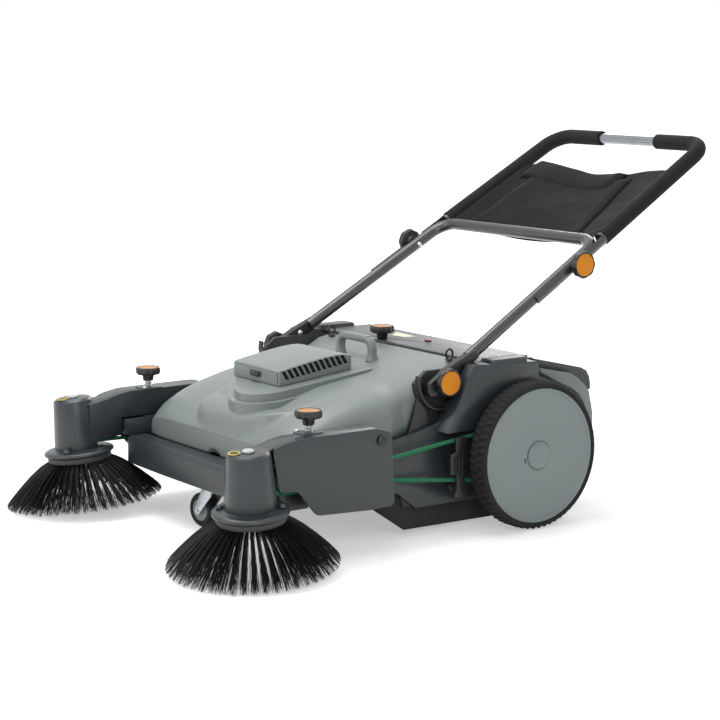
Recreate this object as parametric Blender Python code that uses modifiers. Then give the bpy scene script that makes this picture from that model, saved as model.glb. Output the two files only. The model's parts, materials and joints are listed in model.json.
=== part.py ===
"""Manual floor sweeper, as separate solids in metres. +Z is up, the floor is z = 0 and the front faces -Y.

The left side is +X. Each piece is drawn with the wheel axle at y = 0, and the whole machine is then shifted
along Y so that the origin lies on the floor under the middle of its box.
"""

import math

import bmesh
import bpy
from mathutils import Matrix, Vector

# Clearances
GAP = 0.0003
RUNNING_GAP = 0.0005
BORE_GAP = 0.0004

# Wheels and axle
WHEEL_RADIUS = 0.150
TYRE_WIDTH = 0.045
TYRE_DEPTH = 0.0135
DISC_RECESS = 0.006
RIM_THICKNESS = 0.006
WEB_THICKNESS = 0.004
HUB_CAP_RADIUS = 0.029
HUB_CAP_RISE = 0.0045
AXLE_RADIUS = 0.008
WHEEL_STEPS = 20

# Round belts and their pulleys
BELT_RADIUS = 0.004
BELT_SEAT = 0.0013
DRIVE_PULLEY_RADIUS = 0.0551
DRIVE_FLANGE = 0.007
ROLLER_GROOVE_RADIUS = 0.0401
ROLLER_PULLEY_RADIUS = 0.0251
GROOVE_HALF_WIDTH = 0.0047
PULLEY_HALF_WIDTH = 0.0070

# Chassis
WALL_INNER_X = 0.2655
FRAME_WALL = 0.0102
PANEL_WALL = 0.0120
PANEL_INNER_X = WALL_INNER_X + FRAME_WALL + GAP
PANEL_OUTER_X = PANEL_INNER_X + PANEL_WALL
FENDER_X = PANEL_OUTER_X + 0.037
BELT_X = PANEL_OUTER_X + 0.030
ROLLER_BELT_X = PANEL_OUTER_X + 0.014
WHEEL_X = PANEL_OUTER_X + 0.073
BELT_GUIDE_POINT = (BELT_X + 0.0110, -0.590, 0.147)
FENDER_ARCH_RADIUS = WHEEL_RADIUS - 0.020
FRAME_FRONT_Y = -0.535
FRAME_REAR_Y = 0.058
FRAME_LOW_Z = 0.060
FRAME_FLOOR_Z = 0.097
FRAME_FLOOR_THICKNESS = 0.006
CHAMBER_ROOF_Z = 0.186
CHAMBER_FRONT_Y = -0.264
CROSS_WALL = 0.008
DECK_TOP_Z = 0.335
DECK_THICKNESS = 0.008
DECK_FRONT_Y = -0.072
BLOCK_RISE = 0.009
FENDER_LINE = ((-0.1905, 0.2075), (-0.1683, 0.2489), (-0.1536, 0.2813), (-0.1389, 0.3137), (-0.1255, 0.3368), (-0.0849, 0.3345),
               (0.0349, 0.3309), (0.0420, 0.3250), (0.0425, 0.2075))
SKIRT_THICKNESS = 0.005
SKIRT_LOW_Z = 0.010

# Front bumper
BUMPER_HALF_WIDTH = PANEL_OUTER_X + 0.003
BUMPER_FRONT_Y = -0.579
BUMPER_BOW = 0.007
BUMPER_REAR_Y = -0.498
BUMPER_CORNER = 0.024
BUMPER_WALL = 0.007
BUMPER_LOW_Z = 0.0945
BUMPER_SHELF_Z = 0.1500
BUMPER_HIGH_Z = 0.152

# Hood
HOOD_HALF_WIDTH = WALL_INNER_X + FRAME_WALL - 0.0012
HOOD_REAR_HALF_WIDTH = WALL_INNER_X - 0.0155
HOOD_FRONT_Y = -0.5275
HOOD_REAR_Y = -0.0755
HOOD_WALL = 0.003
HOOD_SHOULDER = 4.4
HOOD_FRONT_BOW = 0.014
HOOD_CROWN = ((-0.5275, 0.196), (-0.520, 0.2100), (-0.505, 0.2300), (-0.485, 0.2435), (-0.460, 0.2575), (-0.420, 0.2730),
              (-0.360, 0.2890), (-0.300, 0.2975), (-0.250, 0.304), (-0.178, 0.317), (-0.0755, 0.331))
HOOD_EDGE = ((-0.5275, 0.152), (-0.420, 0.1735), (-0.282, 0.1985), (-0.200, 0.212), (-0.150, 0.262),
             (-0.105, 0.315), (-0.0755, 0.322))
HOOD_ROWS = (HOOD_FRONT_Y, -0.520, -0.505, -0.485, -0.460, -0.415, -0.355, -0.290, -0.254, -0.200, -0.150, -0.105, HOOD_REAR_Y)
PLINTH_HALF_WIDTH = 0.129
PLINTH_FRONT_Y = -0.514
PLINTH_REAR_Y = -0.205
PLINTH_FRONT_Z = 0.2804
PLINTH_SLOPE = 0.110
PLINTH_DEPTH = 0.034
PLINTH_STEP = 0.0115
PLINTH_STEP_DROP = 0.009
PLINTH_CORNER = 0.080

# Pull loops, as (x, y)
LOOP_PLACE = (HOOD_REAR_HALF_WIDTH - 0.0415, -0.0955)

# Vent cover, its filter and latch
VENT_HALF_WIDTH = 0.085
VENT_FRONT_Y = -0.4265
VENT_REAR_Y = -0.250
VENT_WALL = 0.004
VENT_SLOTS = 12
VENT_SLOT_WIDTH = 0.0075
LATCH_SIZE = (0.030, 0.006, 0.010)
FILTER_HALF_WIDTH = 0.066
FILTER_THICKNESS = 0.018

# Carry handle on the hood
CARRY_Y = -0.178
CARRY_HALF_SPAN = 0.056
CARRY_TOP_Z = 0.368
CARRY_BAR = 0.009

# Roller brush
ROLLER_Y = -0.150
ROLLER_Z = 0.0905
ROLLER_RADIUS = 0.090
ROLLER_HALF_LENGTH = WALL_INNER_X - 0.0095
ROLLER_CORE_RADIUS = 0.036
ROLLER_SHAFT_RADIUS = 0.010
ROLLER_ROWS = 12

# Knobs
KNOB_RADIUS = 0.0265
KNOB_THICKNESS = 0.0155
KNOB_HUB_RADIUS = 0.0115
KNOB_HUB_LENGTH = 0.006
KNOB_NECK_LENGTH = 0.013
KNOB_LOBES = 8
KNOB_LOBE_DEPTH = 0.0016
DECK_KNOB = (-0.078, -0.0535)

# Side broom arms
ARM_INNER_X = PANEL_OUTER_X + RUNNING_GAP
ARM_OUTER_X = ARM_INNER_X + 0.0485
ARM_WALL = 0.004
ARM_PLATE_THICKNESS = 0.005
ARM_PIVOT = (-0.3625, 0.2181)
ARM_PIVOT_RADIUS = 0.007
HEIGHT_KNOB = (PANEL_OUTER_X + 0.0140, -0.5040)
ARM_TOP_Z = 0.2420
BASE_PLATE_THICKNESS = 0.0025
STEM_RADIUS = 0.0040
BRACKET_Z = 0.186
BRACKET_FRONT_Y = -0.574
BRACKET_REAR_Y = -0.482
SPRING_WIRE_RADIUS = 0.0008
SPRING_RADIUS = 0.0072
SPRING_CURLS = 4
SPRING_HEIGHT = 0.0130

# Side brooms
BROOM_X = PANEL_OUTER_X + 0.0465
BROOM_Y = -0.6544
BROOM_TILT = math.radians(5.7)
BROOM_LOW_SIDE = math.radians(-53.0)
BRISTLE_DROP = 0.105
BRISTLE_TIP_RADIUS = 0.1625
HEAD_LOW_RADIUS = 0.050
HEAD_TOP_RADIUS = 0.041
HEAD_LOW = 0.0063
HEAD_HEIGHT = 0.105
HEAD_WALL = 0.006
GUARD_RADIUS = 0.073
GUARD_THICKNESS = 0.012
SPINDLE_RADIUS = 0.0055
BROOM_PULLEY_RADIUS = 0.0125
BROOM_PULLEY_HEIGHT = 0.0185
BACKING_TOP = -0.008
BACKING_BOTTOM = -0.020
BACKING_RADIUS = 0.066
BACKING_BORE = 0.030
BRISTLE_ROWS = 5
BRISTLE_COLUMNS = 24
BRISTLE_INNER_RADIUS = 0.038
BRISTLE_OUTER_RADIUS = 0.064

# Caster
CASTER_Y = -0.530
CASTER_RADIUS = 0.035
CASTER_WIDTH = 0.024
CASTER_TRAIL = 0.030
CASTER_TURN = math.radians(-82.0)
CASTER_PLATE = (0.056, 0.050, 0.003)
CASTER_FORK_THICKNESS = 0.0025
CASTER_FORK_GAP = 0.0155
CASTER_HUB_RADIUS = 0.022

# Push handle
HANDLE_X = PANEL_OUTER_X - 0.003
HANDLE_PIVOT = (-0.176, 0.3055)
HANDLE_SLOPE = math.radians(29.95)
HANDLE_TAPER = 0.053
LEG_RADIUS = 0.0128
SLEEVE_RADIUS = 0.0145
SLEEVE_END_AT = 0.5120
UPPER_RADIUS = 0.0115
UPPER_OFFSET = 0.0030
UPPER_FULL_AT = 0.5050
HANDLE_PIN_RADIUS = 0.006
FOOT_LENGTH = 0.042
FOOT_RADIUS = 0.017
FOOT_THICKNESS = 0.019
LEG_TAPER_END = 0.100
CROSSBAR_AT = 0.499
CROSSBAR_BEND = 0.045
UPPER_START_AT = 0.284
UPPER_KNOB_AT = 0.416
FOLD_ROOM = 0.027
TOP_BAR_AT = 0.880
TOP_BEND = 0.050
FOAM_RADIUS = 0.0175
FOAM_START_AT = 0.5125
FOAM_END_X = 0.091
CLAMP_KNOB_RADIUS = 0.0285
CUP_RADIUS = 0.054
CUP_WALL = 0.005
BAG_START_AT = 0.5140
BAG_END_AT = 0.775
BAG_THICKNESS = 0.010
BAG_SAG = 0.034

# Dust bin
BIN_FRONT_Y = 0.0615
BIN_REAR_Y = 0.2045
BIN_TRAY_FRONT_Y = 0.012
BIN_LOW_Z = 0.0635
BIN_WALL = 0.004
BIN_FLANGE_X = PANEL_OUTER_X + 0.022
BIN_ARCH_RADIUS = WHEEL_RADIUS + 0.016
LID_HALF_WIDTH = PANEL_OUTER_X + 0.008
LID_BAND = 0.005
LID_THICKNESS = 0.008

HANDLE_AXIS = Vector((0.0, math.cos(HANDLE_SLOPE), math.sin(HANDLE_SLOPE)))
HANDLE_NORMAL = Vector((0.0, -math.sin(HANDLE_SLOPE), math.cos(HANDLE_SLOPE)))
UPPER_X = HANDLE_X + UPPER_OFFSET
AXLE_CENTRE = Vector((0.0, 0.0, WHEEL_RADIUS))

# Broom axis: the guard disc's centre is set so that the lowest bristle tip just meets the floor.
TIP_SIZE = 0.0012
DISC_Z = (BRISTLE_DROP + 0.0004) * math.cos(BROOM_TILT) + (BRISTLE_TIP_RADIUS + TIP_SIZE) * math.sin(BROOM_TILT)

SLATE = ((0.060, 0.072, 0.080), 0.45, 0.0)
GREY_GREEN = ((0.190, 0.225, 0.215), 0.42, 0.0)
BLACK = ((0.012, 0.012, 0.013), 0.50, 0.0)
RUBBER = ((0.018, 0.018, 0.019), 0.75, 0.0)
STEEL = ((0.550, 0.560, 0.570), 0.30, 1.0)
GUNMETAL = ((0.110, 0.115, 0.120), 0.35, 0.6)
GREEN = ((0.010, 0.180, 0.075), 0.45, 0.0)
WHEEL_GREY = ((0.235, 0.275, 0.275), 0.45, 0.0)
FOAM = ((0.035, 0.035, 0.036), 0.90, 0.0)
CLOTH = ((0.016, 0.016, 0.018), 0.95, 0.0)
PAPER = ((0.650, 0.620, 0.540), 0.90, 0.0)


def clear_scene():
    for obj in list(bpy.data.objects):
        bpy.data.objects.remove(obj, do_unlink=True)


def new_collection(name):
    made = bpy.data.collections.new(name)
    bpy.context.scene.collection.children.link(made)
    return made


clear_scene()
PARTS = new_collection("floor_sweeper")
CUTTERS = new_collection("cutters")
FRAME_EMPTY = bpy.data.objects.new("machine_frame", None)
PARTS.objects.link(FRAME_EMPTY)


# Building tools

def evaluated_mesh(obj):
    bpy.context.view_layer.update()
    graph = bpy.context.evaluated_depsgraph_get()
    return bpy.data.meshes.new_from_object(obj.evaluated_get(graph))


def baked(obj):
    """The object with its modifiers applied and its place written into its mesh."""
    mesh = evaluated_mesh(obj)
    mesh.transform(obj.matrix_world)
    shape = bmesh.new()
    shape.from_mesh(mesh)
    bmesh.ops.remove_doubles(shape, verts=shape.verts, dist=1e-6)
    shape.to_mesh(mesh)
    shape.free()
    made = bpy.data.objects.new(obj.name + "_shape", mesh)
    name = obj.name
    PARTS.objects.link(made)
    bpy.data.objects.remove(obj, do_unlink=True)
    made.name = name
    return made


def mesh_object(name, shape):
    mesh = bpy.data.meshes.new(name)
    shape.to_mesh(mesh)
    shape.free()
    made = bpy.data.objects.new(name, mesh)
    PARTS.objects.link(made)
    return made


def block(name, low, high, bevel=0.0):
    """A box between two corners, with rounded edges."""
    low, high = Vector(low), Vector(high)
    shape = bmesh.new()
    bmesh.ops.create_cube(shape, size=1.0)
    bmesh.ops.scale(shape, vec=high - low, verts=shape.verts)
    bmesh.ops.translate(shape, vec=(low + high) / 2, verts=shape.verts)
    made = mesh_object(name, shape)
    if bevel:
        rounding = made.modifiers.new("rounding", "BEVEL")
        rounding.width = bevel
        rounding.segments = 1
        made = baked(made)
    return made


AXES = {
    "X": Matrix(((0, 0, 1, 0), (1, 0, 0, 0), (0, 1, 0, 0), (0, 0, 0, 1))),
    "Y": Matrix(((1, 0, 0, 0), (0, 0, -1, 0), (0, 1, 0, 0), (0, 0, 0, 1))),
    "Z": Matrix.Identity(4),
}


def slab(name, outline, axis, low, high, holes=()):
    """A flat outline with thickness from low to high along an axis. Outline points are (y, z), (x, z) or (x, y)."""
    curve = bpy.data.curves.new(name, "CURVE")
    curve.dimensions = "2D"
    curve.fill_mode = "BOTH"
    curve.extrude = (high - low) / 2
    for points in (outline, *holes):
        spline = curve.splines.new("POLY")
        spline.points.add(len(points) - 1)
        spline.use_cyclic_u = True
        for point, (u, v) in zip(spline.points, points):
            point.co = (u, v, 0.0, 1.0)
    flat = bpy.data.objects.new(name, curve)
    PARTS.objects.link(flat)
    middle = (low + high) / 2 * (-1 if axis == "Y" else 1)
    flat.matrix_world = AXES[axis] @ Matrix.Translation((0, 0, middle))
    return baked(flat)


def arc(centre, radius, start, end, steps):
    """Points of an arc, with its angles in degrees."""
    found = []
    for step in range(steps + 1):
        angle = math.radians(start + (end - start) * step / steps)
        found.append((centre[0] + radius * math.cos(angle), centre[1] + radius * math.sin(angle)))
    return found


def circle(centre, radius, steps):
    return arc(centre, radius, 0, 360 - 360 / steps, steps - 1)


def towards(direction, centre):
    """A matrix that stands a turned shape's Z axis along a direction."""
    turn = Vector((0, 0, 1)).rotation_difference(Vector(direction)).to_matrix().to_4x4()
    return Matrix.Translation(centre) @ turn


def turned(name, profile, matrix, steps=24, ring=False):
    """A turned solid: profile points (radius, height) run down the outer side."""
    shape = bmesh.new()
    verts = [shape.verts.new((radius, 0.0, height)) for radius, height in profile]
    for first, second in zip(verts, verts[1:]):
        shape.edges.new((first, second))
    if ring:
        shape.edges.new((verts[-1], verts[0]))
    made = mesh_object(name, shape)
    spin = made.modifiers.new("spin", "SCREW")
    spin.axis = "Z"
    spin.angle = 2 * math.pi
    spin.steps = spin.render_steps = steps
    spin.use_merge_vertices = True
    spin.merge_threshold = 1e-5
    made.matrix_world = matrix
    return baked(made)


def pin(name, centre, direction, radius, low, high, steps=12):
    """A round bar along a direction, from low to high."""
    profile = [(0, high), (radius, high), (radius, low), (0, low)]
    return turned(name, profile, towards(direction, centre), steps)


def tube(name, points, radius, resolution=2, cyclic=False, capped=True):
    curve = bpy.data.curves.new(name, "CURVE")
    curve.dimensions = "3D"
    curve.bevel_depth = radius
    curve.bevel_resolution = resolution
    curve.use_fill_caps = capped and not cyclic
    spline = curve.splines.new("POLY")
    spline.points.add(len(points) - 1)
    spline.use_cyclic_u = cyclic
    for point, place in zip(spline.points, points):
        point.co = (*place, 1.0)
    made = bpy.data.objects.new(name, curve)
    PARTS.objects.link(made)
    return made


def combine(obj, others, operation):
    """A Boolean of the object with each other one, which becomes a hidden helper."""
    for other in others:
        step = obj.modifiers.new(other.name, "BOOLEAN")
        step.operation = operation
        step.solver = "EXACT"
        step.object = other
        PARTS.objects.unlink(other)
        CUTTERS.objects.link(other)
        other.hide_render = True
        other.display_type = "WIRE"
    return baked(obj)


def cut(obj, *others):
    return combine(obj, others, "DIFFERENCE")


def join(obj, *others):
    return combine(obj, others, "UNION")


def one_mesh(name, pieces):
    """Separate solids in one object."""
    shape = bmesh.new()
    for piece in pieces:
        mesh = evaluated_mesh(piece)
        mesh.transform(piece.matrix_world)
        shape.from_mesh(mesh)
        bpy.data.objects.remove(piece, do_unlink=True)
    return mesh_object(name, shape)


MIRROR = Matrix.Diagonal((-1, 1, 1, 1))


def mirrored(obj, name):
    """The right-hand copy of a left-hand piece."""
    mesh = evaluated_mesh(obj)
    mesh.transform(obj.matrix_world)
    mesh.transform(MIRROR)
    mesh.flip_normals()
    made = bpy.data.objects.new(name, mesh)
    PARTS.objects.link(made)
    return made


def material(name, look):
    colour, roughness, metallic = look
    made = bpy.data.materials.new(name)
    made.use_nodes = True
    shader = made.node_tree.nodes["Principled BSDF"]
    shader.inputs["Base Color"].default_value = (*colour, 1.0)
    shader.inputs["Roughness"].default_value = roughness
    shader.inputs["Metallic"].default_value = metallic
    made.diffuse_color = (*colour, 1.0)
    return made


def finish(obj, look, origin=None):
    """Gives the piece its material, and its origin on its joint's axis."""
    obj.data.materials.clear()
    obj.data.materials.append(material(obj.name, look))
    if obj.type == "MESH":
        obj.data.shade_smooth()
        obj.data.set_sharp_from_angle(angle=math.radians(35))
        if origin is not None:
            obj.data.transform(Matrix.Translation(-Vector(origin)))
            obj.matrix_world = Matrix.Translation(origin)
    obj.parent = FRAME_EMPTY
    return obj


def pair(obj, look, origin=None):
    """A left piece and its mirrored right copy. The piece's name ends in _left."""
    other = mirrored(obj, obj.name.replace("_left", "_right"))
    finish(obj, look, origin)
    finish(other, look, None if origin is None else MIRROR @ Vector(origin))


def on_line(points, y):
    """The value at y on a line through (y, value) points."""
    for (first_y, first), (second_y, second) in zip(points, points[1:]):
        if y <= second_y:
            share = (y - first_y) / (second_y - first_y)
            return first + (second - first) * min(max(share, 0.0), 1.0)
    return points[-1][1]


# Running gear

def wheel_matrix():
    return towards((1, 0, 0), (WHEEL_X, 0, WHEEL_RADIUS))


def make_tyre():
    half = TYRE_WIDTH / 2
    seat = WHEEL_RADIUS - TYRE_DEPTH
    shoulder = 0.006
    profile = [(seat, half - 0.001), (seat + TYRE_DEPTH * 0.6, half), (WHEEL_RADIUS, half - shoulder),
               (WHEEL_RADIUS, shoulder - half), (seat + TYRE_DEPTH * 0.6, -half), (seat, 0.001 - half)]
    tyre = turned("tyre_left", profile, wheel_matrix(), WHEEL_STEPS, ring=True)
    pair(tyre, RUBBER, (WHEEL_X, 0, WHEEL_RADIUS))


def pulley_grooves():
    """The drive pulley's profile on the wheel hub, with a step for each belt, from the web inwards."""
    points = []
    for belt_x, groove in ((BELT_X, DRIVE_PULLEY_RADIUS), (ROLLER_BELT_X, ROLLER_GROOVE_RADIUS)):
        middle = belt_x - WHEEL_X
        flange = groove + DRIVE_FLANGE
        points += [(flange, middle + PULLEY_HALF_WIDTH), (groove, middle + GROOVE_HALF_WIDTH / 2),
                   (groove, middle - GROOVE_HALF_WIDTH / 2), (flange, middle - PULLEY_HALF_WIDTH)]
    return points


def make_wheel_disc():
    half = TYRE_WIDTH / 2
    rim = WHEEL_RADIUS - TYRE_DEPTH - GAP
    bore = AXLE_RADIUS + RUNNING_GAP
    web = half - DISC_RECESS
    hub = 0.040
    profile = [(bore, web), (rim - 0.010, web), (rim - 0.007, half - 0.002), (rim, half - 0.002),
               (rim, 0.002 - half), (rim - RIM_THICKNESS, 0.002 - half),
               (rim - RIM_THICKNESS - 0.004, web - WEB_THICKNESS), (hub, web - WEB_THICKNESS)]
    grooves = pulley_grooves()
    profile += [(hub, grooves[0][1])] + grooves + [(bore, grooves[-1][1])]
    disc = turned("wheel_disc_left", profile, wheel_matrix(), WHEEL_STEPS, ring=True)
    pair(disc, WHEEL_GREY, (WHEEL_X, 0, WHEEL_RADIUS))


def make_hub_cap():
    seat = TYRE_WIDTH / 2 - DISC_RECESS + GAP
    edge = seat + HUB_CAP_RISE * 0.6
    profile = [(0, edge + HUB_CAP_RISE), (HUB_CAP_RADIUS * 0.62, edge + HUB_CAP_RISE * 0.75),
               (HUB_CAP_RADIUS * 0.93, edge), (HUB_CAP_RADIUS, seat), (0, seat)]
    cap = turned("hub_cap_left", profile, wheel_matrix(), 14)
    pair(cap, WHEEL_GREY, (WHEEL_X, 0, WHEEL_RADIUS))


def make_axle():
    end = WHEEL_X + TYRE_WIDTH / 2 - DISC_RECESS - GAP
    rod = pin("wheel_axle", AXLE_CENTRE, (1, 0, 0), AXLE_RADIUS, -end, end, 16)
    finish(rod, STEEL)


# Chassis

def pivot_cup_arc(radius):
    return arc(HANDLE_PIVOT, radius, 165, 295, 8)


def wall_bores(name, radius_gap):
    """Cutters for the axle and the roller shaft through a side wall."""
    axle = pin(name + "_axle", AXLE_CENTRE, (1, 0, 0), AXLE_RADIUS + radius_gap, -0.4, 0.4, 16)
    shaft = pin(name + "_shaft", (0, ROLLER_Y, ROLLER_Z), (1, 0, 0), ROLLER_SHAFT_RADIUS + radius_gap, -0.4, 0.4, 16)
    return axle, shaft


def make_chassis_frame():
    outer = WALL_INNER_X + FRAME_WALL
    deck_seat = DECK_TOP_Z - DECK_THICKNESS - GAP
    outline = [(FRAME_FRONT_Y, FRAME_FLOOR_Z), (-0.275, FRAME_FLOOR_Z), (-0.262, FRAME_LOW_Z),
               (FRAME_REAR_Y, FRAME_LOW_Z), (FRAME_REAR_Y, deck_seat), (DECK_FRONT_Y + 0.002, deck_seat)]
    outline += [(-0.140, 0.3275), (-0.205, 0.3275)] + pivot_cup_arc(CUP_RADIUS + CUP_WALL)[1:4]
    outline += [(-0.250, 0.2015), (-0.282, 0.1976), (-0.420, 0.1711), (-0.500, 0.1515), (FRAME_FRONT_Y, 0.1485)]
    frame = slab("chassis_frame", outline, "X", -outer, outer)
    tab = block("caster_tab", (-0.050, BUMPER_FRONT_Y + BUMPER_WALL + 0.003, FRAME_FLOOR_Z + 0.0006),
                (0.050, FRAME_FRONT_Y + 0.005, FRAME_FLOOR_Z + FRAME_FLOOR_THICKNESS - 0.0006))
    frame = join(frame, tab)
    inside = WALL_INNER_X
    floor_top = FRAME_FLOOR_Z + FRAME_FLOOR_THICKNESS
    front = block("front_pocket", (-inside, FRAME_FRONT_Y + CROSS_WALL, floor_top),
                  (inside, CHAMBER_FRONT_Y - CROSS_WALL, 0.5))
    roof_top = CHAMBER_ROOF_Z + FRAME_FLOOR_THICKNESS
    above = block("upper_pocket", (-inside, CHAMBER_FRONT_Y - CROSS_WALL - 0.001, roof_top),
                  (inside, DECK_FRONT_Y + 0.001, 0.5))
    chamber = block("chamber_pocket", (-inside, CHAMBER_FRONT_Y, 0.0), (inside, 0.2, CHAMBER_ROOF_Z))
    deck_box = block("deck_pocket", (-inside, DECK_FRONT_Y + CROSS_WALL + 0.001, roof_top),
                     (inside, 0.2, deck_seat - CROSS_WALL))
    frame = cut(frame, front, above, chamber, deck_box, *wall_bores("frame", BORE_GAP))
    pins = []
    for side in (-1, 1):
        pins.append(pin("handle_pin", (side * WALL_INNER_X, *HANDLE_PIVOT), (side, 0, 0), HANDLE_PIN_RADIUS,
                        0.0015, HANDLE_X + FOOT_THICKNESS / 2 + 0.0006 - WALL_INNER_X))
    x, y = DECK_KNOB
    hole = pin("deck_knob_bore", (x, y, 0.3), (0, 0, 1), STEM_RADIUS + RUNNING_GAP, 0.0, 0.1)
    foot_room = arc(HANDLE_PIVOT, FOOT_LENGTH + 0.0025, 120, 300, 8) + [(-0.0923, 0.3352), (-0.0923, 0.38), (-0.198, 0.38)]
    rooms = []
    for side in (-1, 1):
        ends = sorted((side * (HANDLE_X - FOOT_THICKNESS / 2 - RUNNING_GAP), side * 0.4))
        rooms.append(slab("foot_room", foot_room, "X", *ends))
    frame = cut(frame, hole, *rooms)
    frame = join(frame, *pins)
    finish(frame, BLACK)


def bumper_outline(inset):
    """One edge of the bumper in plan, from the left rear to the right rear."""
    half = BUMPER_HALF_WIDTH - inset
    front = BUMPER_FRONT_Y + inset
    corner = BUMPER_CORNER - inset
    flat = half - corner
    points = [(half, BUMPER_REAR_Y)]
    side_y = front + BUMPER_BOW + corner
    points += arc((flat, side_y), corner, 0, -80, 4)
    for step in range(1, 8):
        x = flat - 2 * flat * step / 8
        points.append((x, front + BUMPER_BOW * (x / flat) ** 2))
    points += arc((-flat, side_y), corner, -100, -180, 4)
    return points + [(-half, BUMPER_REAR_Y)]


def make_bumper():
    band = bumper_outline(0.0) + bumper_outline(BUMPER_WALL)[::-1]
    bumper = slab("front_bumper", band, "Z", BUMPER_LOW_Z, BUMPER_HIGH_Z)
    ribs = []
    for side in (-1, 1):
        low_y = BUMPER_FRONT_Y + BUMPER_WALL - 0.001
        ribs.append(block("bumper_rib", (side * 0.15 - 0.04, low_y, 0.106), (side * 0.15 + 0.04, FRAME_FRONT_Y - GAP, 0.114)))
    bumper = join(bumper, *ribs)
    shelf_side = PANEL_INNER_X - 0.001
    shelf = [point for point in bumper_outline(BUMPER_WALL - 0.002) if point[1] < BUMPER_REAR_Y - 0.02]
    shelf = [(shelf_side, HOOD_FRONT_Y - 0.0015)] + [(max(-shelf_side, min(shelf_side, x)), y) for x, y in shelf]
    shelf += [(-shelf_side, HOOD_FRONT_Y - 0.0015)]
    bumper = join(bumper, slab("bumper_shelf", shelf, "Z", BUMPER_SHELF_Z, BUMPER_HIGH_Z - 0.0006))
    finish(bumper, SLATE)


def make_side_panel():
    front = BUMPER_REAR_Y + RUNNING_GAP
    ear_front, ear_rear = BRACKET_FRONT_Y, BRACKET_REAR_Y
    wall = [(front, FRAME_FLOOR_Z), (-0.285, 0.094), (-0.240, 0.058), (FRAME_REAR_Y, 0.058),
            (FRAME_REAR_Y, 0.3316), (-0.098, 0.3365), (-0.128, 0.283), (-0.160, 0.232), (-0.205, 0.218),
            (-0.250, 0.2065), (-0.282, 0.2020), (-0.420, 0.177), (ear_rear, 0.166), (ear_rear, BRACKET_Z - 0.0015),
            (ear_front, BRACKET_Z - 0.0015), (ear_front, BUMPER_HIGH_Z + RUNNING_GAP), (front, BUMPER_HIGH_Z + RUNNING_GAP)]
    panel = slab("side_panel_left", wall, "X", PANEL_INNER_X, PANEL_OUTER_X)
    band = slab("fender", FENDER_LINE, "X", PANEL_INNER_X + 0.003, FENDER_X)
    well = pin("wheel_well", AXLE_CENTRE, (1, 0, 0), FENDER_ARCH_RADIUS, PANEL_INNER_X, FENDER_X + 0.01, 20)
    band = cut(band, well)
    raised = block("fender_block", (PANEL_INNER_X + 0.002, -0.0725, 0.325), (FENDER_X - 0.004, 0.0175, 0.3325 + BLOCK_RISE), 0.003)
    idler = pin("belt_idler", (PANEL_OUTER_X - 0.004, -0.335, 0.1202), (1, 0, 0), 0.0079, 0.0, BELT_X + 0.007 - PANEL_OUTER_X)
    bracket = block("height_stop", (PANEL_OUTER_X - 0.004, HEIGHT_KNOB[1] - 0.018, BRACKET_Z - 0.026),
                    (HEIGHT_KNOB[0] + 0.006, HEIGHT_KNOB[1] + 0.018, BRACKET_Z))
    pivot_y, pivot_z = ARM_PIVOT
    head_x = ARM_OUTER_X + ARM_PLATE_THICKNESS + 2 * GAP
    pivot = pin("arm_pivot", (PANEL_OUTER_X - 0.004, pivot_y, pivot_z), (1, 0, 0), ARM_PIVOT_RADIUS,
                0.0, head_x + 0.002 - PANEL_OUTER_X + 0.004)
    pivot_head = pin("arm_pivot_head", (head_x, pivot_y, pivot_z), (1, 0, 0), ARM_PIVOT_RADIUS + 0.004, 0.0, 0.004)
    ear = block("pivot_ear", (PANEL_INNER_X + 0.001, pivot_y - 0.018, 0.170), (PANEL_OUTER_X - 0.001, pivot_y + 0.018, pivot_z + 0.012))
    panel = join(panel, band, raised, idler, bracket, pivot, pivot_head, ear)
    panel = cut(panel, handle_room("panel_leg_room", PANEL_INNER_X - 0.01, HANDLE_X + LEG_RADIUS + 0.0015), *wall_bores("panel", BORE_GAP))
    pair(panel, SLATE)


def handle_room(name, low, high):
    """The space that a leg and its foot take up beside the machine, from low to high along X."""
    under = [(0.040, -0.0190), (0.075, -LEG_RADIUS - 0.0014), (0.300, -LEG_RADIUS - 0.0014), (0.300, 0.05), (-0.030, 0.05)]
    outline = arc(HANDLE_PIVOT, FOOT_LENGTH + 0.0025, 120, 300, 8)
    for along, up in under:
        place = handle_point(0, along, up)
        outline.append((place.y, place.z))
    return slab(name, outline, "X", low, high)


def make_handle_cup():
    outer = pivot_cup_arc(CUP_RADIUS + CUP_WALL)
    inner = pivot_cup_arc(CUP_RADIUS)
    outline = outer + inner[::-1]
    cup = slab("handle_cup_left", outline, "X", PANEL_INNER_X, PANEL_OUTER_X + 0.0025)
    # The panel's brace passes behind the cup's lower end.
    room = slab("cup_room", [(-0.215, 0.10), (-0.10, 0.10), (-0.10, 0.3137), (-0.1402, 0.3137), (-0.1549, 0.2813),
                             (-0.1696, 0.2489), (-0.186, 0.2225), (-0.215, 0.2175)], "X", 0.26, 0.40)
    cup = cut(cup, room)
    pair(cup, GREY_GREEN)


def make_deck():
    edge = WALL_INNER_X + FRAME_WALL
    low = DECK_TOP_Z - DECK_THICKNESS
    deck = block("rear_deck", (-edge, DECK_FRONT_Y, low), (edge, FRAME_REAR_Y - 0.001, DECK_TOP_Z), 0.002)
    x, y = DECK_KNOB
    hole = pin("deck_bore", (x, y, 0.3), (0, 0, 1), STEM_RADIUS + RUNNING_GAP, 0.0, 0.1)
    deck = cut(deck, hole)
    finish(deck, SLATE)


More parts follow.
